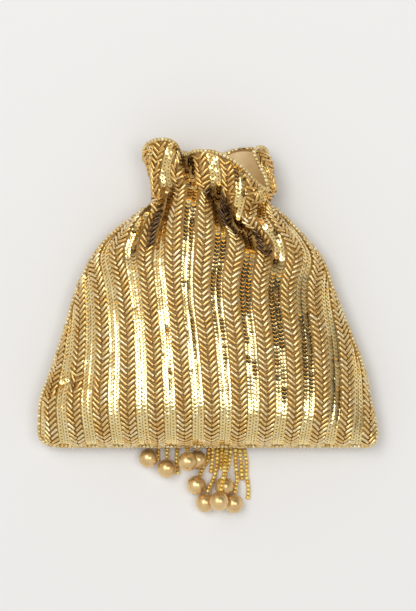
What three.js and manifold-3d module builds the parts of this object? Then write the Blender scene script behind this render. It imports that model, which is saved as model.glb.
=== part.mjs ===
// A gold sequinned potli bag, lying on its back: neck towards +Y, front panel up (+Z).
// All sizes are millimetres. Two embroidered panels meet at a seam round their edge, are drawn
// in at the neck by a cord and open into a frill. A satin lining hangs inside. The two tails of
// the cord pass under the bag and carry beaded tassels below its bottom edge.
import * as THREE from 'three';
import Module from 'manifold-3d';
import { mergeVertices } from 'three/addons/utils/BufferGeometryUtils.js';

// The bag as a whole
const BAG_WIDTH = 202.8; // across the panels near the bottom
const BODY_LENGTH = 146.4; // bottom seam to drawn neck
const BELLY_HEIGHT = 40; // top of the front panel above the ground
const SEAM_HEIGHT = 13; // bottom seam and side seams above the ground
const BOTTOM_ROUND = 32; // length in which the front turns down to the bottom seam
const BACK_ROUND = 15; // length in which the back turns up to the bottom seam
const BELLY_BOXINESS = 2.4; // how square the front's section is: 2 is an ellipse
const NECK_BOXINESS = 4;
const SHOULDER = 0.6; // how steeply the sections rise from the side seams: 0.5 is an ellipse
const BACK_FLATNESS = 1.14; // over 1, the back lies flat well before the side seams

// The drawn neck
const NECK_WIDTH = 72.2;
const NECK_SHIFT = 1.5; // the neck's middle lies this far to the right of the bag's
const NECK_CREST = 33; // top of the gathers above the ground
const NECK_SEAM = 14.5; // side seams at the neck above the ground
const NECK_BACK = 5; // back panel at the neck above the ground
const CINCH = 3; // how much deeper the cord's crease lies than the cloth beside it
const CINCH_SPREAD = 5; // half the crease's width

// The cloth
const WALL = 1.2; // embroidered cloth
const SEAM_GAP = 0.4; // between the two panels' edges
const LINING_WALL = 0.6;
const LINING_EASE = 1.3; // between the cloth and the satin
const FRILL_EASE = 1.8; // the same in the frill, where the cloth is pleated
const FOLD_EASE = 14; // how far the satin hangs below the cloth where the folds are deep
const TOUCH_GAP = 0.3; // between pieces that touch
const CHANNEL = 6; // length of the stitched channel that the cord runs in

// Stripes of sequins between bands of slanted beads, measured along the cloth
const STRIPE_COUNT = 12;
const STRIPE_PITCH = 17;
const STRIPE_SHIFT = 2.5; // middle of the stripes to the right of the panel's middle
const SEQUIN_WIDTH = 7.1;
const STEP_WIDTH = 1; // from sequins up to beads
const BEAD_RELIEF = 0.8; // how far the bead bands stand above the sequins
const FREE_SHARE = 0.8; // share of a row, about its middle, in which the stripes keep their pitch
const STRIPE_END = 0.92; // share of a row that all stripes together take

// Trims, cord and tassels
const TRIM_DIAMETER = 2.3;
const TRIM_GAP = 0.6; // between the beads and the cloth's edge
const CORD_DIAMETER = 2.5;
const STRAND_DIAMETER = 2.3;
const STRAND_STEP = 2.7; // between the middles of neighbouring strands
const PEARL_DIAMETER = 11.6;
const PEARL_HOLE = 1.4;
const HEAD_DIAMETER = 5;
const HEAD_LENGTH = 7;
const GROUND_GAP = 0.1; // under the heads and strands
const HEAD_PROFILE = [ // shares of the radius and of the length from the mouth, from inside out
  [0, 0.4], [0.72, 0.3], [0.72, 0], [0.92, 0], [1, 0.35], [0.9, 0.7], [0.55, 0.96], [0, 1],
];
const TAIL_HEIGHT = 1.5; // middle of a tail above the ground
const TAIL_LIFT = 4.2; // back panel over the tails, above the ground
const STRAND_LIFT = 7.5; // back panel over the tassel heads and strands, above the ground
const LIFT_LEFT = -40; // the raised band of the back panel, from here
const LIFT_RIGHT = 30; // to here
const LIFT_SLOPE = 10;
const SLOT_WIDTH = 11; // slot in the back panel where the tails come out
const SLOT_LENGTH = 5;
const RING_TAPER = 1.8; // the lining's oval is so much narrower than the cord for each unit inward
const RING_DROP = 1; // top of the cord's ring below the side seams' height

// The panels' edges: place along from the bottom seam to the neck, then the left and the right
// edge, 0 at the neck's half width and 1 at the bag's
const OUTLINE = [
  [0, 0.87, 0.963], [0.014, 0.958, 0.986], [0.041, 0.998, 1], [0.086, 0.998, 0.991],
  [0.189, 0.985, 0.935], [0.311, 0.886, 0.879], [0.475, 0.768, 0.738], [0.639, 0.66, 0.589],
  [0.762, 0.533, 0.486], [0.844, 0.398, 0.336], [0.906, 0.244, 0.206], [0.959, 0.09, 0.079],
  [1, 0, 0],
];

// The crease of the drawn neck wanders: place across, millimetres towards the frill
const NECK_CREASE = [[-1, 0], [-0.72, 5], [-0.36, 9], [0.06, 1], [0.42, -7], [0.8, -2], [1, 0]];

// Folds: place across, place along, half width, height above the cloth (valleys below zero)
const FOLDS = [
  [[-0.72, 1.02, 4.5, -6], [-0.6, 0.92, 6, -9], [-0.57, 0.845, 7, -7], [-0.6, 0.74, 10, 0]],
  [[-0.9, 1, 5, 1], [-0.84, 0.93, 7, 4], [-0.82, 0.87, 8, 4], [-0.8, 0.76, 12, 0]],
  [[-0.42, 1, 7, 3], [-0.3, 0.94, 11, 5], [-0.14, 0.85, 19, 4], [0, 0.7, 30, 0]],
  [[0.08, 1.02, 5, -8], [0.26, 0.945, 6, -12], [0.44, 0.895, 7, -11], [0.53, 0.82, 8, -7],
    [0.64, 0.69, 10, 0]],
  [[0.56, 1, 6, 2], [0.72, 0.9, 8, 5], [0.8, 0.82, 10, 4], [0.84, 0.7, 14, 0]],
  [[-1, 0.235, 4, -2], [-0.85, 0.272, 4, -3], [-0.74, 0.235, 5, 0]],
];
const FOLD_REACH = 8; // the higher, the nearer the folds come to the side seams before they fade

// The frill: place across, then the rim (x, y beyond the neck, height) and how far the cloth's
// middle bellies out from the straight way to it (x, y, height)
const FRONT_FRILL = [
  [-1, [-38.7, 26.4, 14.5], [1.6, 0, 0]],
  [-0.83, [-38.4, 34.5, 22], [1, 0, 1]],
  [-0.64, [-30.6, 38.5, 30], [0, 0, 2]],
  [-0.44, [-21, 37, 32], [0, 0, 2]],
  [-0.25, [-15, 29.5, 22], [0, 0, 1]],
  [-0.1, [-8.6, 31.4, 33], [0, 0, 3]],
  [0.16, [4.2, 30.2, 38], [0, 0, 4]],
  [0.48, [18, 23.5, 37], [0, 0, 4]],
  [0.82, [30, 10.9, 31], [0, 0, 2]],
  [1, [36.4, 7.2, 26.4], [0.8, 0, 1]],
];
// The back panel's half ends in a lobe that curls round to the front, right of the open seam
const BACK_FRILL = [
  [-1, [-38.7, 26.4, 14.5], [1.6, 0, 0]],
  [-0.8, [-35, 31, 8], [0, 0, 0]],
  [-0.55, [-24, 33.5, 5], [0, 0, 0]],
  [-0.3, [-9, 31.5, 4], [0, 0, -1]],
  [-0.08, [3, 27.5, 4], [0, 0, -1]],
  [0.12, [14, 33, 4], [0, 0, -1]],
  [0.3, [22, 34.6, 5], [1, 0, 0]],
  [0.46, [31, 34, 8.5], [4, 0, 0]],
  [0.6, [36.6, 31, 14], [7, 0, 0]],
  [0.7, [35.5, 33.4, 19.5], [8.5, 0, 0]],
  [0.78, [31, 34.6, 24], [9, 0, 1]],
  [0.85, [27.4, 31.2, 27], [9, 0, 2]],
  [0.93, [33.2, 18.6, 27.5], [6, 0, 2]],
  [1, [36.4, 7.2, 26.4], [0.8, 0, 1]],
];
// Near the notch, at the open seam, the rim's beads keep to the middle between its two edges
const NOTCH_FRONT = 0.86; // place across the front's frill where they leave its edge
const NOTCH_BACK = 0.94; // place across the back's frill where they meet its edge

// The rows of a panel: shares of the body's length, then shares of the frill's
const FRONT_ROWS = [0.32, 0.44, 0.56, 0.67, 0.76, 0.83, 0.89, 0.935, 0.97, 1];
const BACK_ROWS = [0.24, 0.42, 0.62, 0.8, 0.93, 1];
const FRILL_ROWS = [0.14, 0.34, 0.56, 0.78, 1];
const LINING_ROWS = [0.03, 0.09, 0.2, 0.4, 0.6, 0.78, 0.9, 1];
const LINING_RIM = 0.96;
const LINING_SHOULDER = 3; // how steeply the lining rises from the side seams
const LINING_NECK = 0.84; // place along where the lining starts to draw in to the cord's oval
const ROUND_STEPS = 4;
const ACROSS_SAMPLES = 160;
const SEAM_PLACES = [0.96, 1]; // shares of the way from a panel's middle to its seam
const BACK_PLACES = [-1, -0.96, -0.9, ...evenly(-0.835, 0.835, 23), 0.9, 0.96, 1];

// The edge trim: places along the side seams and across the bottom seam
const SIDE_STRETCH = [
  0.004, 0.014, 0.03, 0.06, 0.1, 0.16, 0.22, 0.29, 0.36, 0.43, 0.5, 0.57, 0.64, 0.7, 0.76, 0.81,
  0.85, 0.89, 0.93, 0.975,
];
const BOTTOM_STRETCH = [-0.985, -0.94, -0.8, -0.5, -0.17, 0.17, 0.5, 0.8, 0.94, 0.985];

// Facets round each kind of tube, and along the cord's ring
const TRIM_SIDES = 6;
const CORD_SIDES = 8;
const HEAD_SIDES = 8;
const PEARL_SIDES = 10;
const PEARL_STEPS = 5;
const RING_STEPS = 28;
const RING_POINTS = 24;
const RING_GAP = 0.02; // half the angle between the ring's two ends

// Hand-set places of the tassels' heads: x, then y from the bottom seam
const LEFT_HEAD = [-22, 37];
const RIGHT_HEAD = [12, 28];

const PEARL_RADIUS = PEARL_DIAMETER / 2;
const PEARL_REACH = PEARL_RADIUS + TOUCH_GAP; // middle of a pearl to the end of its strand
const STRAND_HEIGHT = STRAND_DIAMETER / 2 + GROUND_GAP; // middle of a strand on the ground
const HEAD_HEIGHT = HEAD_DIAMETER / 2 + GROUND_GAP;

// Pearls: name, place in pearl diameters from the tassel's own point on the bottom seam, and the
// pearl that it lies on, where it doesn't lie on the ground
const TASSEL_POINTS = { left: -20, right: 6 };
const PEARLS = {
  left: [
    ['pearl_left_1', -1.39, -0.71],
    ['pearl_left_2', -0.43, -1.25],
    ['pearl_left_4', 1.164, -0.793],
    ['pearl_left_3', 0.664, -0.828, 'pearl_left_4'],
  ],
  right: [
    ['pearl_right_1', -1.13, -2.12],
    ['pearl_right_2', -0.66, -3.04],
    ['pearl_right_4', 0.82, -3.09],
    ['pearl_right_5', 0.33, -2.18],
    ['pearl_right_3', 0.05, -2.905, 'pearl_right_2'],
  ],
};
// Strands: name, the hand-set points of the way out from under the bag (x, y from the bottom
// seam, z), and the pearl at the end
const STRANDS = {
  left: [
    ['strand_left_1', [[-28, 18, 1.5], [-32.5, 3, 3.6], [-33.6, 0.4, 4.6]], 'pearl_left_1'],
    ['strand_left_2', [[-26, 18, 3], [-30, 0, 1.3], [-30.2, -10.4, 1.3]]],
    ['strand_left_3', [[-22.6, 18, 1.3], [-24.4, 0, 1.6], [-25, -5, 3.8]], 'pearl_left_2'],
    ['strand_left_4', [[-19.5, 18, 2.8], [-18.6, 0, 1.3], [-19.2, -12, 1.3], [-18, -18.5, 1.3]]],
    ['strand_left_5', [[-16.3, 18, 1.4], [-13, 3, 5.2], [-12.4, -2.4, 9]], 'pearl_left_3'],
    ['strand_left_6', [[-13.5, 18, 2.6], [-7.4, 5, 3.2], [-6.6, 0.2, 4.6]], 'pearl_left_4'],
  ],
  right: [
    ['strand_right_1', [[1.4, 10, 1.3], [0.4, -2, 1.3], [0, -9, 1.3], [-3.4, -15, 3]], 'pearl_right_1'],
    ['strand_right_2', [[4, 10, 1.8], [3.1, -2, 1.3], [2.6, -10, 1.3], [1.6, -17.5, 1.3]]],
    ['strand_right_3', [[6.6, 10, 1.3], [5.8, -2, 1.3], [5.2, -14, 1.3], [2.8, -22.5, 2.4],
      [0.4, -26.4, 4]], 'pearl_right_2'],
    ['strand_right_4', [[9.2, 10, 1.8], [8.5, -2, 1.3], [8.3, -11, 1.3], [7.8, -15.6, 1.3]]],
    ['strand_right_5', [[11.8, 10, 1.3], [11.2, -2, 1.8], [10.4, -10, 7.4], [9.4, -19, 12.6],
      [8, -25, 14]], 'pearl_right_3'],
    ['strand_right_6', [[14.3, 10, 1.8], [13.9, -2, 1.3], [12.6, -12, 2.2], [11, -16.5, 4]],
      'pearl_right_5'],
    ['strand_right_7', [[16.8, 10, 1.3], [16.6, -2, 1.3], [17, -13, 1.3], [17.7, -22, 2.6],
      [16.6, -27, 4.6]], 'pearl_right_4'],
    ['strand_right_8', [[19.3, 10, 1.8], [19.3, -2, 1.3], [20.2, -13, 1.3], [20.8, -22, 1.3]]],
    ['strand_right_9', [[21.8, 10, 1.3], [22, -2, 1.3], [23.6, -12, 1.3], [23.3, -18, 1.3],
      [24.6, -27, 1.3], [24.2, -33.6, 1.3]]],
  ],
};
const LEFT_TAIL = [[-3.4, 118, 1.5], [-5.5, 92, 1.5], [-14, 66, 1.5], [-20, 52, 1.6]];
const RIGHT_TAIL = [[3.4, 118, 1.5], [4.2, 90, 1.5], [10, 62, 1.5], [11.5, 44, 1.6]];

const FRONT = 1;
const BACK = -1;

const clamp = (x, low, high) => Math.min(high, Math.max(low, x));
const mix = (a, b, share) => a + (b - a) * share;

// Numbers at equal steps from low to high
function evenly(low, high, count) {
  return Array.from({ length: count }, (_, i) => low + (high - low) * i / (count - 1));
}

function smooth(low, high, x) {
  const k = clamp((x - low) / (high - low), 0, 1);
  return k * k * (3 - 2 * k);
}

// A smooth curve through the rows of a table, each a place and then one value or more
function through(table, place, column) {
  const last = table.length - 1;
  const value = (i) => table[i].flat(2)[column];
  const at = (i) => table[i][0];
  const slope = (i) => {
    const low = Math.max(0, i - 1);
    const high = Math.min(last, i + 1);
    return (value(high) - value(low)) / (at(high) - at(low));
  };
  const x = clamp(place, at(0), at(last));
  let i = 0;
  while (i < last - 1 && x > at(i + 1)) i += 1;
  const span = at(i + 1) - at(i);
  const k = (x - at(i)) / span;
  return value(i) * (1 + 2 * k) * (1 - k) ** 2 + slope(i) * span * k * (1 - k) ** 2
    + value(i + 1) * k * k * (3 - 2 * k) + slope(i + 1) * span * k * k * (k - 1);
}

// The two side edges of a panel at a place along the body
function edges(along) {
  const neckLeft = NECK_SHIFT - NECK_WIDTH / 2;
  const neckRight = NECK_SHIFT + NECK_WIDTH / 2;
  return {
    left: mix(neckLeft, -BAG_WIDTH / 2, through(OUTLINE, along, 1)),
    right: mix(neckRight, BAG_WIDTH / 2, through(OUTLINE, along, 2)),
  };
}

const seamHeight = (along) => mix(SEAM_HEIGHT, NECK_SEAM, smooth(0.5, 1, along));

// A quarter of an ellipse, from 0 at the bottom seam to 1 at the end of the turn
const turnUp = (along, turn) => Math.sqrt(1 - (1 - clamp(along * BODY_LENGTH / turn, 0, 1)) ** 2);

// Height that the folds add: each is a bell across the nearest stretch of its line
function foldHeight(across, along, halfWidth) {
  let height = 0;
  for (const fold of FOLDS) {
    let nearest = Infinity;
    let bell = 0;
    for (let i = 0; i + 1 < fold.length; i += 1) {
      const [a, b] = [fold[i], fold[i + 1]];
      const [dx, dy] = [(b[0] - a[0]) * halfWidth, (b[1] - a[1]) * BODY_LENGTH];
      const [px, py] = [(across - a[0]) * halfWidth, (along - a[1]) * BODY_LENGTH];
      const k = clamp((px * dx + py * dy) / (dx * dx + dy * dy), 0, 1);
      const distance = Math.hypot(px - k * dx, py - k * dy);
      if (distance < nearest) {
        nearest = distance;
        bell = mix(a[3], b[3], k) * Math.exp(-((distance / mix(a[2], b[2], k)) ** 2));
      }
    }
    height += bell;
  }
  return height * (1 - Math.abs(across) ** FOLD_REACH);
}

// Height of the front panel's outer face
function frontHeight(across, along, halfWidth) {
  const seam = seamHeight(along);
  const crown = mix(BELLY_HEIGHT, NECK_CREST, smooth(0.45, 1, along));
  const boxiness = mix(BELLY_BOXINESS, NECK_BOXINESS, smooth(0.6, 1, along));
  const section = (1 - Math.abs(across) ** boxiness) ** SHOULDER;
  const crease = CINCH * Math.exp(-(((1 - along) * BODY_LENGTH / CINCH_SPREAD) ** 2));
  return seam + (crown - seam - crease) * turnUp(along, BOTTOM_ROUND) * section
    + foldHeight(across, along, halfWidth);
}

// Height of the back panel's outer face: flat on the ground, raised over the tails and strands
function backHeight(across, along, x, ease = 0) {
  const seam = seamHeight(along);
  const rest = NECK_BACK * smooth(0.55, 1, along);
  const lift = mix(STRAND_LIFT, TAIL_LIFT, smooth(0.25, 0.42, along - ease / BODY_LENGTH));
  const window = smooth(LIFT_LEFT - LIFT_SLOPE, LIFT_LEFT, x + ease)
    * (1 - smooth(LIFT_RIGHT, LIFT_RIGHT + LIFT_SLOPE, x - ease));
  const depth = seam - mix(rest, Math.max(rest, lift), window);
  const section = Math.min(1, BACK_FLATNESS * (1 - across ** NECK_BOXINESS) ** SHOULDER);
  return seam - depth * turnUp(along, BACK_ROUND) * section;
}

function bodyPoint(side, across, along) {
  const { left, right } = edges(along);
  const halfWidth = (right - left) / 2;
  const x = (left + right) / 2 + halfWidth * across;
  const crease = through(NECK_CREASE, across, 1) * smooth(0.8, 1, along);
  const y = along * BODY_LENGTH + (side === FRONT ? crease : 0);
  const z = side === FRONT ? frontHeight(across, along, halfWidth) : backHeight(across, along, x);
  return new THREE.Vector3(x, y, z + side * SEAM_GAP / 2);
}

// Points across the body, each with its length along the cloth from the left edge
function rowSamples(side, along) {
  const samples = [];
  for (let i = 0; i <= ACROSS_SAMPLES; i += 1) {
    const across = Math.sin((i / ACROSS_SAMPLES - 0.5) * Math.PI);
    samples.push({ across, point: bodyPoint(side, across, along), length: 0 });
  }
  for (let i = 1; i <= ACROSS_SAMPLES; i += 1) {
    samples[i].length = samples[i - 1].length + samples[i].point.distanceTo(samples[i - 1].point);
  }
  return samples;
}

// A row across the body, at places from -1 to 1 that divide its length along the cloth
function bodyRow(side, along, places) {
  const samples = rowSamples(side, along);
  const total = samples[ACROSS_SAMPLES].length;
  return places.map((place) => {
    const wanted = (place + 1) / 2 * total;
    let i = 1;
    while (i < ACROSS_SAMPLES && samples[i].length < wanted) i += 1;
    const k = clamp((wanted - samples[i - 1].length) / (samples[i].length - samples[i - 1].length), 0, 1);
    return bodyPoint(side, mix(samples[i - 1].across, samples[i].across, k), along);
  });
}

// A row of the frill: a bowed way from the neck to the rim, which keeps clear of the trim there
function frillRow(side, share, places) {
  const table = side === FRONT ? FRONT_FRILL : BACK_FRILL;
  const neck = bodyRow(side, 1, places);
  return places.map((place, i) => {
    const [x, y, z, bowX, bowY, bowZ] = [1, 2, 3, 4, 5, 6].map((k) => through(table, place, k));
    const rim = new THREE.Vector3(x, BODY_LENGTH + y, z + side * SEAM_GAP / 2);
    const inward = neck[i].clone().sub(rim).setLength(TRIM_DIAMETER);
    rim.add(inward);
    const middle = neck[i].clone().lerp(rim, 0.5).add(new THREE.Vector3(bowX, bowY, bowZ));
    return neck[i].clone().multiplyScalar((1 - share) * (1 - 2 * share))
      .addScaledVector(middle, 4 * share * (1 - share))
      .addScaledVector(rim, share * (2 * share - 1));
  });
}

// Outward directions of a grid's points; along the seams they stay level
function outward(grid, side) {
  return grid.map((row, j) => row.map((point, i) => {
    const along = grid[Math.min(j + 1, grid.length - 1)][i].clone().sub(grid[Math.max(j - 1, 0)][i]);
    const across = row[Math.min(i + 1, row.length - 1)].clone().sub(row[Math.max(i - 1, 0)]);
    const normal = across.cross(along).multiplyScalar(side);
    if (i === 0 || i === row.length - 1 || j === 0) normal.z = 0;
    return normal.normalize();
  }));
}

const offset = (grid, directions, distance) => grid.map((row, j) => row.map((point, i) => (
  point.clone().addScaledVector(directions[j][i], distance(j, i)))));

// A closed wall between an outer and an inner grid of points
function wallGeometry(outer, inner, side) {
  const rows = outer.length;
  const columns = outer[0].length;
  const points = [...outer.flat(), ...inner.flat()];
  const id = (layer, j, i) => layer * rows * columns + j * columns + i;
  const index = [];
  const quad = (a, b, c, d) => {
    if (side === FRONT) index.push(a, b, c, a, c, d);
    else index.push(a, c, b, a, d, c);
  };
  for (let j = 0; j + 1 < rows; j += 1) {
    for (let i = 0; i + 1 < columns; i += 1) {
      quad(id(0, j, i), id(0, j, i + 1), id(0, j + 1, i + 1), id(0, j + 1, i));
      quad(id(1, j, i), id(1, j + 1, i), id(1, j + 1, i + 1), id(1, j, i + 1));
    }
    quad(id(0, j, 0), id(0, j + 1, 0), id(1, j + 1, 0), id(1, j, 0));
    const last = columns - 1;
    quad(id(0, j, last), id(1, j, last), id(1, j + 1, last), id(0, j + 1, last));
  }
  for (let i = 0; i + 1 < columns; i += 1) {
    quad(id(0, 0, i), id(1, 0, i), id(1, 0, i + 1), id(0, 0, i + 1));
    quad(id(0, rows - 1, i), id(0, rows - 1, i + 1), id(1, rows - 1, i + 1), id(1, rows - 1, i));
  }
  return indexedGeometry(points, index);
}

function indexedGeometry(points, index) {
  const geometry = new THREE.BufferGeometry();
  const numbers = points.flatMap((p) => p.toArray());
  geometry.setAttribute('position', new THREE.Float32BufferAttribute(numbers, 3));
  geometry.setIndex(index);
  geometry.computeVertexNormals();
  return geometry;
}

// Half of a row's length along the cloth
function halfRowLength(side, along) {
  return rowSamples(side, along)[ACROSS_SAMPLES].length / 2;
}

// Columns of the front, in millimetres along the cloth from its middle: the edges of each sequin
// stripe and of each bead band
function stripeColumns() {
  const first = STRIPE_SHIFT - (STRIPE_COUNT - 1) / 2 * STRIPE_PITCH;
  const edge = SEQUIN_WIDTH / 2;
  const offsets = [-edge - STEP_WIDTH, -edge, edge, edge + STEP_WIDTH];
  return Array.from({ length: STRIPE_COUNT }, (_, k) => (
    offsets.map((away) => first + k * STRIPE_PITCH + away))).flat();
}

// Where the columns cross a row, as places from -1 to 1: each at its own distance from the row's
// middle, and closer together beside the seams of a row that is too short for all of them
function stripePlaces(columns, halfRow) {
  const last = Math.max(...columns.map(Math.abs));
  const free = FREE_SHARE * halfRow;
  const end = Math.min(STRIPE_END, last / halfRow);
  const squeeze = last > free ? (end - FREE_SHARE) / (last - free) * halfRow : 1;
  const places = columns.map((column) => {
    const beyond = Math.max(0, Math.abs(column) - free) * squeeze;
    return Math.sign(column) * (Math.min(Math.abs(column), free) + beyond) / halfRow;
  });
  return { places, squeeze };
}

// How far the beads stand out at a column: nothing on the sequins, and less beside the seams and
// where the columns are squeezed together
function relief(column, place, squeeze) {
  const stripe = (column - STRIPE_SHIFT) / STRIPE_PITCH + (STRIPE_COUNT - 1) / 2;
  const nearest = clamp(Math.round(stripe), 0, STRIPE_COUNT - 1);
  const distance = Math.abs(stripe - nearest) * STRIPE_PITCH;
  const level = smooth(SEQUIN_WIDTH / 2, SEQUIN_WIDTH / 2 + STEP_WIDTH, distance);
  return BEAD_RELIEF * level * (Math.abs(place) > FREE_SHARE ? squeeze : 1);
}

const turnRows = (turn, steps) => Array.from({ length: steps + 1 }, (_, i) => (
  turn / BODY_LENGTH * (1 - Math.cos(i / steps * Math.PI / 2))));

// The grids of a panel with its half of the frill, from the places of its columns on each body row
function panelGrids(side, rows, places, reliefAt) {
  const cloth = [
    ...rows.map((along, j) => bodyRow(side, along, places[j])),
    ...FRILL_ROWS.map((share) => frillRow(side, share, places[rows.length - 1])),
  ];
  for (const row of cloth) {
    for (const [edge, next] of [[row[0], row[1]], [row[row.length - 1], row[row.length - 2]]]) {
      edge.add(next.clone().sub(edge).setLength(SEAM_GAP));
    }
  }
  const directions = outward(cloth, side);
  return { outer: offset(cloth, directions, reliefAt), inner: offset(cloth, directions, () => -WALL) };
}

const panelRows = (turn, bodyRows) => (
  [...turnRows(turn, ROUND_STEPS), ...bodyRows.filter((along) => along * BODY_LENGTH > turn)]);

// The front, with its stripes in relief between plain columns beside the seams
function frontGrids() {
  const rows = panelRows(BOTTOM_ROUND, FRONT_ROWS);
  const columns = stripeColumns();
  const stripes = rows.map((along) => stripePlaces(columns, halfRowLength(FRONT, along)));
  const left = SEAM_PLACES.map((place) => -place).reverse();
  const places = stripes.map((row) => [...left, ...row.places, ...SEAM_PLACES]);
  return panelGrids(FRONT, rows, places, (j, i) => {
    const column = columns[i - left.length];
    const row = Math.min(j, rows.length - 1);
    if (j === 0 || column === undefined) return 0;
    return relief(column, places[row][i], stripes[row].squeeze);
  });
}

// The back, whose beads are pressed flat against the ground
function backGrids() {
  const rows = panelRows(BACK_ROUND, BACK_ROWS);
  const grids = panelGrids(BACK, rows, rows.map(() => BACK_PLACES), () => 0);
  grids.outer.flat().forEach((p) => { p.z = Math.max(p.z, 0); });
  return grids;
}

// Turns a closed geometry into a solid that can be cut, and back
const wasm = await Module();
wasm.setup();

function solidOf(geometry) {
  const bare = geometry.clone();
  bare.deleteAttribute('normal');
  bare.deleteAttribute('uv');
  const merged = mergeVertices(bare, 1e-4);
  return new wasm.Manifold(new wasm.Mesh({
    numProp: 3,
    vertProperties: new Float32Array(merged.attributes.position.array),
    triVerts: new Uint32Array(merged.index.array),
  }));
}

function geometryOf(solid) {
  const mesh = solid.getMesh();
  const geometry = new THREE.BufferGeometry();
  geometry.setAttribute('position', new THREE.BufferAttribute(new Float32Array(mesh.vertProperties), 3));
  geometry.setIndex(new THREE.BufferAttribute(new Uint32Array(mesh.triVerts), 1));
  geometry.computeVertexNormals();
  return geometry;
}

// The slot that lets the tails out of the cord's channel, at the middle of the back
function slotGeometry() {
  const slot = new THREE.BoxGeometry(SLOT_WIDTH, SLOT_LENGTH, NECK_BACK);
  slot.translate(0, BODY_LENGTH - CORD_DIAMETER / 2, NECK_BACK + WALL / 2);
  return slot;
}

// The ring of cord in its channel, inside the gathers
const ringHalfWidth = NECK_WIDTH / 2 - WALL - TOUCH_GAP - CORD_DIAMETER / 2;
const ringLow = NECK_BACK + WALL + TOUCH_GAP + CORD_DIAMETER / 2;
const ringHalfHeight = NECK_SEAM - RING_DROP - ringLow;

function ringPoint(angle, inward) {
  const across = Math.sin(angle);
  const up = -Math.cos(angle);
  const rise = up > 0 ? through(NECK_CREASE, across, 1) * smooth(0, 0.5, up) : 0;
  return new THREE.Vector3(
    NECK_SHIFT + (ringHalfWidth - RING_TAPER * inward) * across,
    BODY_LENGTH + rise,
    ringLow + ringHalfHeight + (ringHalfHeight - inward) * up,
  );
}

// A route whose sections stand at its own points, so that corners get as many as they need
class PointedRoute extends THREE.CatmullRomCurve3 {
  getPointAt(share, target) {
    return this.getPoint(share, target);
  }

  getTangentAt(share, target) {
    return this.getTangent(share, target);
  }
}

const trimGeometry = (points) => tubeGeometry(
  points, TRIM_DIAMETER, TRIM_SIDES, points.length - 1, new PointedRoute(points, false, 'centripetal'));

// A tube of plain section along hand-set points
function tubeGeometry(points, diameter, sides, steps, route) {
  const section = new THREE.Shape();
  for (let i = 0; i < sides; i += 1) {
    const angle = (i + 0.5) / sides * 2 * Math.PI;
    const corner = [diameter / 2 * Math.cos(angle), diameter / 2 * Math.sin(angle)];
    if (i === 0) section.moveTo(...corner);
    else section.lineTo(...corner);
  }
  const extrudePath = route ?? new THREE.CatmullRomCurve3(points, false, 'centripetal');
  return new THREE.ExtrudeGeometry(section, { steps, extrudePath, bevelEnabled: false });
}

const cordSteps = (points, diameter) => {
  const length = new THREE.CatmullRomCurve3(points, false, 'centripetal').getLength();
  return Math.ceil(length / (3 * diameter));
};

// The satin lining: its own smooth bag in the body, an oval inside the cord, close to the frill
function liningRow(along, frontPlaces, backPlaces, inset) {
  const front = frontPlaces.map((place) => liningPoint(FRONT, place, along, inset));
  const back = backPlaces.slice(1, -1).map((place) => liningPoint(BACK, place, along, inset));
  return [...front, ...back.reverse()];
}

function liningPoint(side, place, along, inset) {
  const across = Math.sin(place * Math.PI / 2);
  const { left, right } = edges(along);
  const halfWidth = (right - left) / 2;
  const away = WALL + LINING_EASE + inset;
  const x = (left + right) / 2 + (halfWidth - away) * across;
  const seam = seamHeight(along);
  const below = Math.max(0, along - away / BODY_LENGTH);
  const slack = FOLD_EASE * smooth(0.55, 0.8, along);
  const cloth = side === FRONT
    ? frontHeight(across, below, halfWidth) - foldHeight(across, below, halfWidth) - slack
    : backHeight(across, below, x, LIFT_SLOPE);
  const level = Math.sqrt(Math.max(0, 1 - across * across));
  const depth = (Math.abs(cloth - seam) - away) * Math.min(1, level * LINING_SHOULDER);
  const least = (2 * LINING_WALL - inset) * level;
  const z = seam + side * Math.max(least, depth);
  const body = new THREE.Vector3(x, bodyPoint(side, across, along).y, z);
  const angle = side === FRONT ? Math.PI - place * Math.PI / 2 : place * Math.PI / 2;
  const oval = ringPoint(angle, CORD_DIAMETER / 2 + TOUCH_GAP + inset);
  oval.y -= CHANNEL / 2;
  return body.lerp(oval, smooth(LINING_NECK, 1, along));
}

// Places across the frill: those of its table and the middles between them
function frillPlaces(side) {
  const places = (side === FRONT ? FRONT_FRILL : BACK_FRILL).map((row) => row[0]);
  return [...places.slice(0, -1).flatMap((p, i) => [p, mix(p, places[i + 1], 0.5)]), 1];
}

// Rows above the cord: the far end of its channel, then the satin behind the frill
function liningFrillRows(frontPlaces, backPlaces, inset) {
  const channelEnd = liningRow(1, frontPlaces, backPlaces, inset);
  channelEnd.forEach((p) => { p.y += CHANNEL; });
  const shares = [...FRILL_ROWS.slice(1, -1), LINING_RIM];
  const grids = [[FRONT, frontPlaces], [BACK, backPlaces]].map(([side, places]) => {
    const grid = [FRILL_ROWS[0], ...shares].map((share) => frillRow(side, share, places));
    return offset(grid, outward(grid, side), () => -(WALL + FRILL_EASE + inset)).slice(1);
  });
  const rows = grids[0].map((front, j) => {
    const back = grids[1][j];
    front[0].lerp(back[0], 0.5);
    front[front.length - 1].lerp(back[back.length - 1], 0.5);
    return [...front, ...back.slice(1, -1).reverse()];
  });
  return [channelEnd, ...rows];
}

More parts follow.
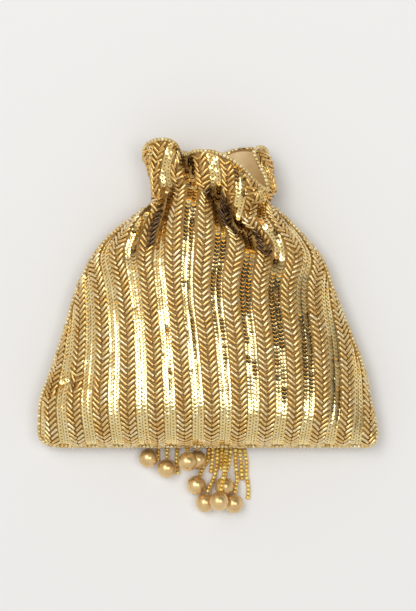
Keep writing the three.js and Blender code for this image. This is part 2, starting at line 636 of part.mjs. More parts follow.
function liningGeometry() {
  const frontPlaces = frillPlaces(FRONT);
  const backPlaces = frillPlaces(BACK);
  const layers = [0, LINING_WALL].map((inset) => [
    ...LINING_ROWS.map((along, j) => (
      liningRow(along + (j === 0 ? inset / BODY_LENGTH : 0), frontPlaces, backPlaces, inset))),
    ...liningFrillRows(frontPlaces, backPlaces, inset),
  ]);
  const rows = layers[0].length;
  const loop = layers[0][0].length;
  const id = (layer, j, i) => layer * rows * loop + j * loop + i % loop;
  const index = [];
  const quad = (a, b, c, d) => index.push(a, b, c, a, c, d);
  for (let j = 0; j + 1 < rows; j += 1) {
    for (let i = 0; i < loop; i += 1) {
      quad(id(0, j, i), id(0, j, i + 1), id(0, j + 1, i + 1), id(0, j + 1, i));
      quad(id(1, j, i), id(1, j + 1, i), id(1, j + 1, i + 1), id(1, j, i + 1));
    }
  }
  for (let i = 0; i < loop; i += 1) {
    quad(id(0, rows - 1, i), id(0, rows - 1, i + 1), id(1, rows - 1, i + 1), id(1, rows - 1, i));
  }
  // The closed bottom: the first row's front and back edges, zipped together from left to right
  const last = frontPlaces.length - 1;
  const backIds = backPlaces.map((_, j) => (j === backPlaces.length - 1 ? last : (loop - j) % loop));
  let [i, j] = [0, 0];
  while (i < last || j + 1 < backPlaces.length) {
    const [a, b] = [i, backIds[j]];
    const front = j + 1 === backPlaces.length || (i < last && frontPlaces[i + 1] < backPlaces[j + 1]);
    if (front) i += 1;
    else j += 1;
    const c = front ? i : backIds[j];
    if (new Set([a, b, c]).size < 3) continue;
    const corners = [b, c, a];
    index.push(...corners.map((k) => id(0, 0, k)), ...corners.reverse().map((k) => id(1, 0, k)));
  }
  return indexedGeometry(layers.flat(2), index);
}

// A bored pearl, with its hole along +Y before it is turned
function pearlGeometry() {
  const profile = [];
  const hole = PEARL_HOLE / 2;
  const start = Math.asin(hole / PEARL_RADIUS);
  for (let i = 0; i <= PEARL_STEPS; i += 1) {
    const angle = mix(start, Math.PI - start, i / PEARL_STEPS);
    profile.push(new THREE.Vector2(PEARL_RADIUS * Math.sin(angle), -PEARL_RADIUS * Math.cos(angle)));
  }
  profile.push(profile[0].clone());
  return new THREE.LatheGeometry(profile, PEARL_SIDES);
}

// The cap over the knot where a tail's strands start: a small bell, mouth towards -Y
function headGeometry() {
  const profile = HEAD_PROFILE.map(([radius, height]) => (
    new THREE.Vector2(radius * HEAD_DIAMETER / 2, height * HEAD_LENGTH)));
  return new THREE.LatheGeometry(profile, HEAD_SIDES);
}

const vectors = (points) => points.map((p) => new THREE.Vector3(...p));

const group = new THREE.Group();

function add(name, geometry, material) {
  const mesh = new THREE.Mesh(geometry, material);
  mesh.name = name;
  group.add(mesh);
  return mesh;
}

const finish = (color, roughness, metalness) => (
  new THREE.MeshStandardMaterial({ color, roughness, metalness }));
const embroidery = () => finish(0xc9a45c, 0.35, 0.7);
const seedBeads = () => finish(0xd9a441, 0.25, 0.6);
const cord = () => finish(0xb98d4a, 0.6, 0);

// Panels: the striped front, and the back with the slot for the tails
const front = frontGrids();
add('front_panel', wallGeometry(front.outer, front.inner, FRONT), embroidery());
const back = backGrids();
const backWhole = solidOf(wallGeometry(back.outer, back.inner, BACK));
add('back_panel', geometryOf(backWhole.subtract(solidOf(slotGeometry()))), embroidery());

// Lining
add('lining', liningGeometry(), finish(0xc8a873, 0.45, 0));

// Trims of seed beads, one round the mouth and one down the side seams and along the bottom
const trimReach = TRIM_DIAMETER / 2 + TRIM_GAP;

function rimRoute(side, places) {
  const rim = frillRow(side, 1, places);
  const normals = outward([frillRow(side, 0.9, places), rim], side)[1];
  return rim.map((p, i) => {
    const along = rim[Math.min(i + 1, rim.length - 1)].clone().sub(rim[Math.max(i - 1, 0)]);
    return p.clone().add(normals[i].clone().cross(along).multiplyScalar(side).setLength(trimReach));
  });
}

// The point beside the open seam that keeps the same distance to both edges
function notchPoint() {
  const [frontEdge, tip] = frillRow(FRONT, 1, [NOTCH_FRONT, 1]);
  const [backEdge] = frillRow(BACK, 1, [NOTCH_BACK]);
  const ways = [frontEdge, backEdge].map((p) => p.sub(tip).normalize());
  const half = ways[0].angleTo(ways[1]) / 2;
  const middle = ways[0].add(ways[1]).setLength(trimReach / Math.sin(half));
  return tip.add(middle);
}

function mouthRoute() {
  const front = frillPlaces(FRONT).filter((p) => p < NOTCH_FRONT);
  const back = frillPlaces(BACK).filter((p) => p > -1 && p < NOTCH_BACK);
  return [...rimRoute(FRONT, front), notchPoint(), ...rimRoute(BACK, back).reverse()];
}
add('mouth_trim', trimGeometry(mouthRoute()), seedBeads());

function edgeRoute() {
  const seamPoint = (along, edge) => (
    new THREE.Vector3(edges(along)[edge], along * BODY_LENGTH, seamHeight(along)));
  const leftSide = SIDE_STRETCH.map((along) => seamPoint(along, 'left'));
  const rightSide = SIDE_STRETCH.map((along) => seamPoint(along, 'right'));
  const bottom = BOTTOM_STRETCH.map((across) => {
    const p = bodyPoint(FRONT, across, 0);
    return new THREE.Vector3(p.x, p.y, SEAM_HEIGHT);
  });
  const route = [...leftSide.reverse(), ...bottom, ...rightSide];
  return route.map((p, i) => {
    const tangent = route[Math.min(i + 1, route.length - 1)].clone().sub(route[Math.max(i - 1, 0)]);
    const out = new THREE.Vector3(tangent.y, -tangent.x, 0).setLength(trimReach);
    return p.clone().add(out);
  });
}
add('edge_trim', trimGeometry(edgeRoute()), seedBeads());

// Drawstring: the ring in its channel, open by a hair where its two ends meet
const ringRoute = Array.from({ length: RING_POINTS + 1 }, (_, i) => (
  ringPoint(mix(RING_GAP, 2 * Math.PI - RING_GAP, i / RING_POINTS), 0)));
add('drawstring', tubeGeometry(ringRoute, CORD_DIAMETER, CORD_SIDES, RING_STEPS), cord());

// Tails, from under the ring out through the slot and along the ground to the heads
function tailRoute(points, head) {
  const [x] = points[0];
  const turn = ringLow - CORD_DIAMETER / 2 - TOUCH_GAP - TAIL_HEIGHT;
  const bend = [0, 30, 60, 90].map((degrees) => {
    const angle = degrees * Math.PI / 180;
    return [x, BODY_LENGTH - turn + turn * Math.cos(angle), TAIL_HEIGHT + turn - turn * Math.sin(angle)];
  });
  const end = [head[0], head[1] + HEAD_LENGTH + TOUCH_GAP, HEAD_HEIGHT];
  return vectors([...bend, ...points, end]);
}
const tails = [['left', LEFT_TAIL, LEFT_HEAD], ['right', RIGHT_TAIL, RIGHT_HEAD]];
for (const [name, tail, head] of tails) {
  const route = tailRoute(tail, head);
  const steps = cordSteps(route, CORD_DIAMETER);
  add(`drawstring_tail_${name}`, tubeGeometry(route, CORD_DIAMETER, CORD_SIDES, steps), cord());
  const cap = add(`tassel_head_${name}`, headGeometry(), finish(0xc79a45, 0.3, 1));
  cap.position.set(head[0], head[1], HEAD_HEIGHT);

  // Pearls on the ground, and those that lie on another
  const pearls = new Map();
  for (const [pearl, right, up, under] of PEARLS[name]) {
    const middle = new THREE.Vector3(
      TASSEL_POINTS[name] + right * PEARL_DIAMETER, up * PEARL_DIAMETER, PEARL_RADIUS);
    if (under) {
      const lower = pearls.get(under);
      const apart = Math.hypot(middle.x - lower.x, middle.y - lower.y);
      middle.z = lower.z + Math.sqrt((PEARL_DIAMETER + TOUCH_GAP) ** 2 - apart ** 2);
    }
    pearls.set(pearl, middle);
  }

  // Strands, side by side in two layers at the head, each to its pearl or to a loose end
  STRANDS[name].forEach(([strand, points, pearl], i) => {
    const place = i - (STRANDS[name].length - 1) / 2;
    const layer = (i % 2) * STRAND_STEP * Math.sqrt(3) / 2;
    const start = [head[0] + place * STRAND_STEP / 2, head[1] - TOUCH_GAP, STRAND_HEIGHT + layer];
    const strandRoute = vectors([start, ...points]);
    if (pearl) {
      const middle = pearls.get(pearl);
      const way = strandRoute[strandRoute.length - 1].clone().sub(middle).normalize();
      strandRoute.push(middle.clone().addScaledVector(way, PEARL_REACH));
      const mesh = add(pearl, pearlGeometry(), finish(0xc8a06a, 0.25, 0.1));
      mesh.quaternion.setFromUnitVectors(new THREE.Vector3(0, 1, 0), way);
      mesh.position.copy(middle);
    }
    const strandSteps = cordSteps(strandRoute, STRAND_DIAMETER);
    add(strand, tubeGeometry(strandRoute, STRAND_DIAMETER, CORD_SIDES, strandSteps),
      finish(0xd19c3c, 0.2, 0.4));
  });
}

// The origin goes below the middle of the bag itself, at the ground
const hanging = /^(drawstring_tail|tassel_head|strand|pearl)/;
const box = new THREE.Box3();
for (const mesh of group.children) {
  if (!hanging.test(mesh.name)) box.expandByObject(mesh);
}
const middle = box.getCenter(new THREE.Vector3());
group.position.set(-middle.x, -middle.y, -box.min.z);

export default group;
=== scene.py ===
"""A gold sequinned potli bag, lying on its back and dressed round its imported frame.

The sections follow the bag as it is put together. Sizes are millimetres of the bag's own pattern,
whose zero is the middle of the bottom seam, at the ground. A mesh gets its metres and its place in
the frame where it is made.
"""
import math

import bpy
import numpy as np
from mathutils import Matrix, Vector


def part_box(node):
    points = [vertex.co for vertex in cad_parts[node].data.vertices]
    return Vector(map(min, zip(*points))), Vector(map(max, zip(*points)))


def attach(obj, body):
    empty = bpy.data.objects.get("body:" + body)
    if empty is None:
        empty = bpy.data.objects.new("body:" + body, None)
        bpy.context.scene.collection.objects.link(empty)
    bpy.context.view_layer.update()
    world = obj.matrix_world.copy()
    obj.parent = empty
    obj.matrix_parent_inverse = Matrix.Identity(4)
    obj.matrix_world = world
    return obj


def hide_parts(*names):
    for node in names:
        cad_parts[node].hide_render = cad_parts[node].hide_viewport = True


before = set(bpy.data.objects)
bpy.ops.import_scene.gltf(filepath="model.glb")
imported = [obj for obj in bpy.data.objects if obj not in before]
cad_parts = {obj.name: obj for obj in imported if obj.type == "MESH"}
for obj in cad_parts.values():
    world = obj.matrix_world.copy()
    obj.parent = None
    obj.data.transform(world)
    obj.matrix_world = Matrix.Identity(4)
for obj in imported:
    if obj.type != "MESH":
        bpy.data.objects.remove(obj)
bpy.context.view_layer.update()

# The room: a pale floor that the bag lies on, with the camera straight above it, as the photo
# shows the bag from its front. Two wide soft panels hang level overhead, left and right. The walls
# are pale, and high up beyond the neck, to the right, the room is dark, which metal mirrors.
MM = 0.001
PHOTO_HEIGHT = 611  # pixels
PHOTO_SCALE = 0.6  # millimetres of the bag in one pixel of the photo
PHOTO_MIDDLE = (0.1, -6.96, 20)  # what the photo's middle shows, from the frame's origin
CAMERA_DISTANCE = 1400
SENSOR = 36
PANEL_WATTS = 4  # for a square metre of lamp, at a brightness of 1
SOFT_BOXES = [  # place from the photo's middle, size, turn from above in degrees, brightness
    ((-980, 887, 2700), (1620, 2070), 28, 2.75),
    ((1065, 195, 2700), (1467, 1260), 0, 2.75),
]
FLOOR_SIZE = 8000
FLOOR_COLOUR = (0.85, 0.845, 0.835, 1)
DARK_SIDE = (0.371, 0.407, 0.834)  # the direction of the room's darkest part
ROOM_COLOURS = [  # closeness to the dark side, as a cosine, and the colour there
    (0.05, (0.66, 0.652, 0.64, 1)), (0.58, (0.75, 0.74, 0.725, 1)), (0.75, (0.44, 0.435, 0.42, 1)),
    (0.84, (0.33, 0.325, 0.31, 1)), (0.895, (0.22, 0.215, 0.2, 1)), (0.915, (0.03, 0.027, 0.025, 1)),
]

scene = bpy.context.scene
scene.view_settings.view_transform = "Standard"


def colour_ramp(tree, factor, stops):
    """The colours between (place, colour) stops in rising order, read by a node's output."""
    ramp = tree.nodes.new("ShaderNodeValToRGB")
    elements = ramp.color_ramp.elements
    for position, colour in stops[1:-1]:
        elements.new(position).color = colour
    for end in (0, -1):
        elements[end].position, elements[end].color = stops[end]
    tree.links.new(factor, ramp.inputs[0])
    return ramp.outputs[0]


def plain_material(name, colour, roughness, others):
    """A material whose shader has its colour, roughness and other inputs set."""
    material = bpy.data.materials.new(name)
    material.use_nodes = True
    inputs = material.node_tree.nodes["Principled BSDF"].inputs
    for key, value in {"Base Color": colour, "Roughness": roughness, **others}.items():
        inputs[key].default_value = value
    return material


camera_data = bpy.data.cameras.new("camera")
camera = bpy.data.objects.new("camera", camera_data)
scene.collection.objects.link(camera)
scene.camera = camera
camera.location = np.add(PHOTO_MIDDLE, (0, 0, CAMERA_DISTANCE)) * MM
camera_data.sensor_fit = "VERTICAL"
camera_data.sensor_height = SENSOR
camera_data.lens = SENSOR * CAMERA_DISTANCE / (PHOTO_HEIGHT * PHOTO_SCALE)
camera_data.clip_end = 20  # metres

for number, (place, size, turn, brightness) in enumerate(SOFT_BOXES, 1):
    lamp = bpy.data.lights.new(f"soft_box_{number}", "AREA")
    lamp.shape = "RECTANGLE"
    lamp.size, lamp.size_y = np.multiply(size, MM)
    lamp.energy = PANEL_WATTS * brightness * lamp.size * lamp.size_y
    lamp_object = bpy.data.objects.new(lamp.name, lamp)
    scene.collection.objects.link(lamp_object)
    lamp_object.location = np.add(PHOTO_MIDDLE, place) * MM
    lamp_object.rotation_euler.z = math.radians(turn)

world = bpy.data.worlds.new("room")
scene.world = world
world.use_nodes = True
room = world.node_tree
direction = room.nodes.new("ShaderNodeTexCoord")
closeness = room.nodes.new("ShaderNodeVectorMath")
closeness.operation = "DOT_PRODUCT"
closeness.inputs[1].default_value = DARK_SIDE
room.links.new(direction.outputs["Generated"], closeness.inputs[0])
walls = colour_ramp(room, closeness.outputs["Value"], ROOM_COLOURS)
room.links.new(walls, room.nodes["Background"].inputs["Color"])

bpy.ops.mesh.primitive_plane_add(size=FLOOR_SIZE * MM)
floor = bpy.context.object
floor.name = "floor"
floor.data.materials.append(
    plain_material("pale_paper", FLOOR_COLOUR, 0.9, {"Specular IOR Level": 0.1}))

# Drawstring tails: the two ends of the drawstring, a twisted cord of three plies, which come out
# of the back of the neck and run under the bag to the tassels. Each ends in a stamped metal cap
# that is crimped over its knot.
HEADS = {"left": (-22, 37), "right": (12, 28)}  # middle of each cap's mouth
HEAD_LENGTH = 7
HEAD_DIAMETER = 5
HEAD_HEIGHT = 2.6  # middle of a cap above the ground
TOUCH_GAP = 0.3
CORD_DIAMETER = 2.5
CORD_PLIES = 3
PLY_RADIUS = CORD_DIAMETER / 4.3
CORD_TWIST = 9  # length in which a ply goes once round
TAIL_HEIGHT = 1.5
TAIL_TURN = 4.7  # radius of the bend where a tail comes down to the ground
BODY_LENGTH = 146.4
TAIL_POINTS = {
    "left": [(-3.4, 118, 1.5), (-5.5, 92, 1.5), (-14, 66, 1.5), (-20, 52, 1.6)],
    "right": [(3.4, 118, 1.5), (4.2, 90, 1.5), (10, 62, 1.5), (11.5, 44, 1.6)],
}
CORD_STEP = 0.6
CORD_COLOURS = [(0.30, 0.17, 0.055, 1), (0.46, 0.29, 0.10, 1)]
CAP_COLOURS = [(0.50, 0.32, 0.11, 1), (0.70, 0.49, 0.20, 1)]
CAP_PROFILE = [  # share of the radius, share of the length: inside, round the mouth and up outside
    (0, 0.4), (0.5, 0.38), (0.72, 0.3), (0.72, 0), (0.94, 0), (1, 0.01), (1, 0.06), (0.93, 0.1),
    (0.98, 0.2), (0.97, 0.4), (0.86, 0.6), (0.7, 0.75), (0.62, 0.8), (0.68, 0.84), (0.6, 0.9),
    (0.42, 0.97), (0.22, 1), (0, 1),
]

cap_low, cap_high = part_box("tassel_head_left")
PATTERN_PLACE = np.array([  # where the pattern's zero lies in the frame
    (cap_low[0] + cap_high[0]) / 2 / MM - HEADS["left"][0],
    cap_low[1] / MM - HEADS["left"][1],
    0,
])


def in_frame(points):
    """Pattern points in millimetres as frame points in metres: shifted, then scaled."""
    return (np.asarray(points, float) + PATTERN_PLACE) * MM


def smooth_route(points, step):
    """A curve through the points, cut into equal steps.

    Between two points it is a Hermite cubic. Its slopes come from the chords on both sides, each
    weighed by the square root of its length, and beyond the ends the last chord is repeated.
    """
    p = np.array(points, float)
    p = np.vstack([2 * p[0] - p[1], p, 2 * p[-1] - p[-2]])
    chord = np.sqrt(np.linalg.norm(np.diff(p, axis=0), axis=1))[:, None]
    a, b, c, d = p[:-3], p[1:-2], p[2:-1], p[3:]
    before, here, after = chord[:-2], chord[1:-1], chord[2:]
    out = ((b - a) / before - (c - a) / (before + here) + (c - b) / here) * here
    into = ((c - b) / here - (d - b) / (here + after) + (d - c) / after) * here
    k = np.linspace(0, 1, 32, endpoint=False)[None, :, None]
    curve = (
        b[:, None] * (2 * k**3 - 3 * k**2 + 1) + out[:, None] * (k**3 - 2 * k**2 + k)
        + c[:, None] * (3 * k**2 - 2 * k**3) + into[:, None] * (k**3 - k**2)
    )
    return even_steps(np.vstack([curve.reshape(-1, 3), p[-2]]), step)


def travelled(points):
    """The sum of the steps up to each point, along a line or along each row of a grid."""
    steps = np.linalg.norm(np.diff(points, axis=-2), axis=-1)
    return np.concatenate([0 * steps[..., :1], np.cumsum(steps, axis=-1)], axis=-1)


def read_at(wanted, lengths, values):
    """A line's values at the wanted lengths, by straight lines between its points."""
    return np.stack([np.interp(wanted, lengths, column) for column in values.T], axis=1)


def even_steps(line, step):
    """The line again, with points at equal distances near the step that is asked for."""
    lengths = travelled(line)
    count = max(2, round(lengths[-1] / step) + 1)
    return read_at(np.linspace(0, lengths[-1], count), lengths, line)


def line_length(line):
    """The sum of the steps between a line's points."""
    return float(travelled(line)[-1])


def unit(vectors):
    """Each vector divided by its length."""
    return vectors / np.linalg.norm(vectors, axis=-1, keepdims=True)


def frames_along(line, reference):
    """At each point of a line: two directions square to it, and its own direction.

    The first is the cross product of the reference and the line's direction.
    """
    heading = unit(np.gradient(line, axis=0))
    first = unit(np.cross(np.broadcast_to(np.asarray(reference, float), heading.shape), heading))
    return first, np.cross(heading, first), heading


def grid_faces(rows, columns, ring=False):
    """Four-cornered faces of a grid of points, whose last column may join its first."""
    j = np.arange(rows - 1)[:, None]
    i = np.arange(columns if ring else columns - 1)[None, :]
    right = (i + 1) % columns
    return np.stack([
        j * columns + i, j * columns + right, (j + 1) * columns + right, (j + 1) * columns + i,
    ], axis=-1).reshape(-1, 4)


def new_piece(name, points, faces, smooth=True):
    """A mesh object at the frame's origin, from pattern points and arrays of face corners."""
    faces = faces if isinstance(faces, list) else [faces]
    mesh = bpy.data.meshes.new(name)
    mesh.vertices.add(len(points))
    mesh.vertices.foreach_set("co", in_frame(points).astype(np.float32).ravel())
    corners = np.concatenate([f.ravel() for f in faces]).astype(np.int32)
    sides = np.concatenate([np.full(len(f), f.shape[1]) for f in faces])
    mesh.loops.add(len(corners))
    mesh.loops.foreach_set("vertex_index", corners)
    mesh.polygons.add(len(sides))
    mesh.polygons.foreach_set("loop_start", np.r_[0, np.cumsum(sides)[:-1]].astype(np.int32))
    mesh.polygons.foreach_set("use_smooth", np.full(len(sides), smooth))
    mesh.update(calc_edges=True)
    mesh.validate()
    piece = bpy.data.objects.new(name, mesh)
    scene.collection.objects.link(piece)
    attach(piece, "root")
    return piece


def closed_rings(rings, start, end):
    """Points and faces of a skin over rings of points, closed by a point at each end."""
    count, sides = rings.shape[:2]
    around = np.arange(sides)
    onward = (around + 1) % sides
    last = (count - 1) * sides
    start_fan = np.stack([np.full(sides, count * sides), onward, around], axis=1)
    end_fan = np.stack([np.full(sides, count * sides + 1), last + around, last + onward], axis=1)
    points = np.vstack([rings.reshape(-1, 3), start, end])
    return points, grid_faces(count, sides, ring=True), np.vstack([start_fan, end_fan])


def swept_tube(line, first, second, radius, sides, spin=0.0, away=0.0):
    """A round tube with closed ends along a line.

    Its middle goes round the line at the distance away, by the angle spin at each point, and each
    section is a circle of the radius in the plane of the line's two square directions.
    """
    spin = np.broadcast_to(spin, len(line))[:, None]
    middle = line + away * (np.cos(spin) * first + np.sin(spin) * second)
    angle = (np.arange(sides) / sides * 2 * math.pi)[:, None]
    ring = np.cos(angle) * first[:, None] + np.sin(angle) * second[:, None]
    return closed_rings(middle[:, None] + radius * ring, middle[0], middle[-1])


def twisted_cord(name, line, reference):
    """Plies of nearly half the cord's size, each wound round it once in every length of twist."""
    first, second, _ = frames_along(line, reference)
    turns = np.arange(len(line)) * line_length(line) / (len(line) - 1) / CORD_TWIST
    away = CORD_DIAMETER / 2 - PLY_RADIUS
    points, quads, caps, count = [], [], [], 0
    for number in range(CORD_PLIES):
        spin = 2 * math.pi * (turns + number / CORD_PLIES)
        ply, ply_quads, ply_caps = swept_tube(line, first, second, PLY_RADIUS, 8, spin, away)
        points.append(ply)
        quads.append(ply_quads + count)
        caps.append(ply_caps + count)
        count += len(ply)
    return new_piece(name, np.vstack(points), [np.vstack(quads), np.vstack(caps)])


def turned_rings(profile, sides, turn=0.0):
    """For each (radius, height) of a profile, the ring (r·cos a, height, −r·sin a) round Y."""
    radius, height = np.transpose(profile)[..., None]
    angle = (np.arange(sides) + turn) / sides * 2 * math.pi
    return np.stack([radius * np.cos(angle), height + 0 * angle, -radius * np.sin(angle)], axis=-1)


def own_noise(tree, scale, detail):
    """A noise over the piece's own place."""
    place = tree.nodes.new("ShaderNodeTexCoord")
    noise = tree.nodes.new("ShaderNodeTexNoise")
    noise.inputs["Scale"].default_value = scale
    noise.inputs["Detail"].default_value = detail
    tree.links.new(place.outputs["Object"], noise.inputs["Vector"])
    return noise.outputs["Fac"]


def mottled(material, colours, scale):
    """Lets a material's colour wander between two, by a noise."""
    tree = material.node_tree
    ramp = colour_ramp(tree, own_noise(tree, scale, 3), list(zip((0.35, 0.65), colours)))
    tree.links.new(ramp, tree.nodes["Principled BSDF"].inputs["Base Color"])


def noise_bump(material, scale, strength, distance):
    """Fine relief from a noise; the distance is in millimetres."""
    tree = material.node_tree
    bump = tree.nodes.new("ShaderNodeBump")
    bump.inputs["Strength"].default_value = strength
    bump.inputs["Distance"].default_value = distance * MM
    tree.links.new(own_noise(tree, scale, 2), bump.inputs["Height"])
    tree.links.new(bump.outputs[0], tree.nodes["Principled BSDF"].inputs["Normal"])


cord_material = plain_material("twisted_cord", CORD_COLOURS[0], 0.55, {})
mottled(cord_material, CORD_COLOURS, 700)
noise_bump(cord_material, 5000, 0.5, 0.1)
cap_material = plain_material("stamped_cap", CAP_COLOURS[0], 0.28, {"Metallic": 1})
mottled(cap_material, CAP_COLOURS, 500)
for side, head in HEADS.items():
    points = TAIL_POINTS[side]
    bend = [
        (
            points[0][0],
            BODY_LENGTH - TAIL_TURN + TAIL_TURN * math.cos(angle),
            TAIL_HEIGHT + TAIL_TURN - TAIL_TURN * math.sin(angle),
        )
        for angle in np.radians([0, 30, 60, 90])
    ]
    cap_back = (head[0], head[1] + HEAD_LENGTH + TOUCH_GAP, HEAD_HEIGHT)
    route = smooth_route([*bend, *points, cap_back], CORD_STEP)
    tail = twisted_cord(f"tail_{side}", route, (1, 0, 0))
    tail.data.materials.append(cord_material)
    profile = np.multiply(CAP_PROFILE, (HEAD_DIAMETER / 2, HEAD_LENGTH))
    cap_points, *cap_faces = closed_rings(
        turned_rings(profile[1:-1], 24), (0, profile[0, 1], 0), (0, profile[-1, 1], 0))
    cap = new_piece(f"cap_{side}", cap_points + (*head, HEAD_HEIGHT), cap_faces)
    cap.data.materials.append(cap_material)
    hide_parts(f"tassel_head_{side}")
    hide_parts(f"drawstring_tail_{side}")

# Tassel strands: round glass seed beads threaded close together on a twisted nylon thread, which
# is knotted inside the cap. Some strands end in a drilled pearl, and the others in a knotted last
# bead.
SEED_DIAMETER = 2.3
SEED_LENGTH = 2.1
SEED_HOLE = 0.7
SEED_PITCH = 2.35
STRAND_STEP = 2.7
PEARL_DIAMETER = 11.6
PEARL_HOLE = 1.4
TASSEL_POINT = {"left": -20, "right": 6}
PEARLS = {  # places in pearl diameters from the tassel's point, and the pearl that it lies on
    "left": {
        "pearl_left_1": (-1.39, -0.71, None),
        "pearl_left_2": (-0.43, -1.25, None),
        "pearl_left_4": (1.164, -0.793, None),
        "pearl_left_3": (0.664, -0.828, "pearl_left_4"),
    },
    "right": {
        "pearl_right_1": (-1.13, -2.12, None),
        "pearl_right_2": (-0.66, -3.04, None),
        "pearl_right_4": (0.82, -3.09, None),
        "pearl_right_5": (0.33, -2.18, None),
        "pearl_right_3": (0.05, -2.905, "pearl_right_2"),
    },
}
STRANDS = {
    "left": [
        ([(-28, 18, 1.5), (-32.5, 3, 3.6), (-33.6, 0.4, 4.6)], "pearl_left_1"),
        ([(-26, 18, 3), (-30, 0, 1.3), (-30.2, -10.4, 1.3)], None),
        ([(-22.6, 18, 1.3), (-24.4, 0, 1.6), (-25, -5, 3.8)], "pearl_left_2"),
        ([(-19.5, 18, 2.8), (-18.6, 0, 1.3), (-19.2, -12, 1.3), (-18, -18.5, 1.3)], None),
        ([(-16.3, 18, 1.4), (-13, 3, 5.2), (-12.4, -2.4, 9)], "pearl_left_3"),
        ([(-13.5, 18, 2.6), (-7.4, 5, 3.2), (-6.6, 0.2, 4.6)], "pearl_left_4"),
    ],
    "right": [
        ([(1.4, 10, 1.3), (0.4, -2, 1.3), (0, -9, 1.3), (-3.4, -15, 3)], "pearl_right_1"),
        ([(4, 10, 1.8), (3.1, -2, 1.3), (2.6, -10, 1.3), (1.6, -17.5, 1.3)], None),
        ([(6.6, 10, 1.3), (5.8, -2, 1.3), (5.2, -14, 1.3), (2.8, -22.5, 2.4), (0.4, -26.4, 4)],
         "pearl_right_2"),
        ([(9.2, 10, 1.8), (8.5, -2, 1.3), (8.3, -11, 1.3), (7.8, -15.6, 1.3)], None),
        ([(11.8, 10, 1.3), (11.2, -2, 1.8), (10.4, -10, 7.4), (9.4, -19, 12.6), (8, -25, 14)],
         "pearl_right_3"),
        ([(14.3, 10, 1.8), (13.9, -2, 1.3), (12.6, -12, 2.2), (11, -16.5, 4)], "pearl_right_5"),
        ([(16.8, 10, 1.3), (16.6, -2, 1.3), (17, -13, 1.3), (17.7, -22, 2.6), (16.6, -27, 4.6)],
         "pearl_right_4"),
        ([(19.3, 10, 1.8), (19.3, -2, 1.3), (20.2, -13, 1.3), (20.8, -22, 1.3)], None),
        ([(21.8, 10, 1.3), (22, -2, 1.3), (23.6, -12, 1.3), (23.3, -18, 1.3), (24.6, -27, 1.3),
          (24.2, -33.6, 1.3)], None),
    ],
}
STRAND_GROUND = SEED_DIAMETER / 2 + 0.1
GROUND_GAP = 0.03  # no bead reaches lower above the ground
STRUNG_SIZE = (1.18, 1.06, 1.18)  # a tassel bead's width, length and depth to the stock size
SEWN_SIZE = (1.08, 1.05, 1.08)  # the same in a trim
SIZE_SPREAD = 0.03
THREAD_TONE = 0.3
SEED_COLOURS = [(0.70, 0.38, 0.04, 1), (0.88, 0.58, 0.10, 1), (0.96, 0.74, 0.22, 1)]
PEARL_COLOURS = [(0.72, 0.48, 0.20, 1), (0.84, 0.60, 0.28, 1)]
random = np.random.default_rng(7)


def hollow_shape(profile, sides, turn=0.0):
    """Rings round Y over a profile that goes up the outside and down the hole to its start."""
    points = turned_rings(profile, sides, turn).reshape(-1, 3)
    return points, grid_faces(len(profile) + 1, sides, ring=True) % len(points)


def seed_profile():
    """An ellipse from its outermost point up and round, as wide as the bead's wall."""
    angle = np.arange(8) / 8 * 2 * math.pi
    wall = (SEED_DIAMETER - SEED_HOLE) / 4
    radius = SEED_HOLE / 2 + wall * (1 + np.cos(angle))
    return np.stack([radius, SEED_LENGTH / 2 * np.sin(angle)], axis=1)


def copies(shape, places, first, second, third, sizes=None):
    """Copies of a shape at each place, with its X, Y and Z along three directions."""
    points, faces = shape
    sizes = np.ones((len(places), 3)) if sizes is None else sizes
    axes = np.stack([first, second, third], axis=1) * sizes[:, :, None]
    all_points = places[:, None] + np.einsum("vk,nkd->nvd", points, axes)
    all_faces = faces[None] + (np.arange(len(places)) * len(points))[:, None, None]
    return all_points.reshape(-1, 3), all_faces.reshape(-1, faces.shape[1])


def set_tone(piece, values):
    """Gives every point of a piece its copy's tone, which the material reads."""
    tone = piece.data.attributes.new("tone", "FLOAT", "POINT")
    tone.data.foreach_set("value", values.astype(np.float32))


def toned(material, colours):
    """Takes the material's colour from each copy's tone, through a ramp of colours."""
    tree = material.node_tree
    tone = tree.nodes.new("ShaderNodeAttribute")
    tone.attribute_name = "tone"
    stops = [(k / (len(colours) - 1), colour) for k, colour in enumerate(colours)]
    ramp = colour_ramp(tree, tone.outputs["Fac"], stops)
    tree.links.new(ramp, tree.nodes["Principled BSDF"].inputs["Base Color"])


def seed_row(name, line, reference, material, thread=True):
    """Seed beads strung along a line, one in every pitch, on a thread where it is wanted."""
    beads = even_steps(line, SEED_PITCH)
    middles = (beads[1:] + beads[:-1]) / 2
    first, second, heading = frames_along(line, reference)
    nearest = np.argmin(np.linalg.norm(middles[:, None] - line[None], axis=2), axis=1)
    size = STRUNG_SIZE if thread else SEWN_SIZE
    size = size + random.normal(0, SIZE_SPREAD, (len(middles), 3))
    shape = hollow_shape(seed_profile(), 12)
    points, faces = copies(
        shape, middles, first[nearest], heading[nearest], -second[nearest], size)
    points[:, 2] = np.maximum(points[:, 2], GROUND_GAP)
    tones = np.repeat(random.uniform(0, 1, len(middles)), len(shape[0]))
    if thread:
        tube, tube_faces, ends = swept_tube(line, first, second, SEED_HOLE * 0.45, 6)
        faces = [np.vstack([faces, tube_faces + len(points)]), ends + len(points)]
        points = np.vstack([points, tube])
        tones = np.r_[tones, np.full(len(tube), THREAD_TONE)]
    piece = new_piece(name, points, faces)
    set_tone(piece, tones)
    piece.data.materials.append(material)
    return piece


def seed_glass(name, colours):
    """Clear glass with a gold lining: a metal of the colour under a bright coat."""
    material = plain_material(
        name, colours[1], 0.08, {"Metallic": 0.35, "Coat Weight": 0.6, "Coat Roughness": 0.03})
    toned(material, colours)
    return material


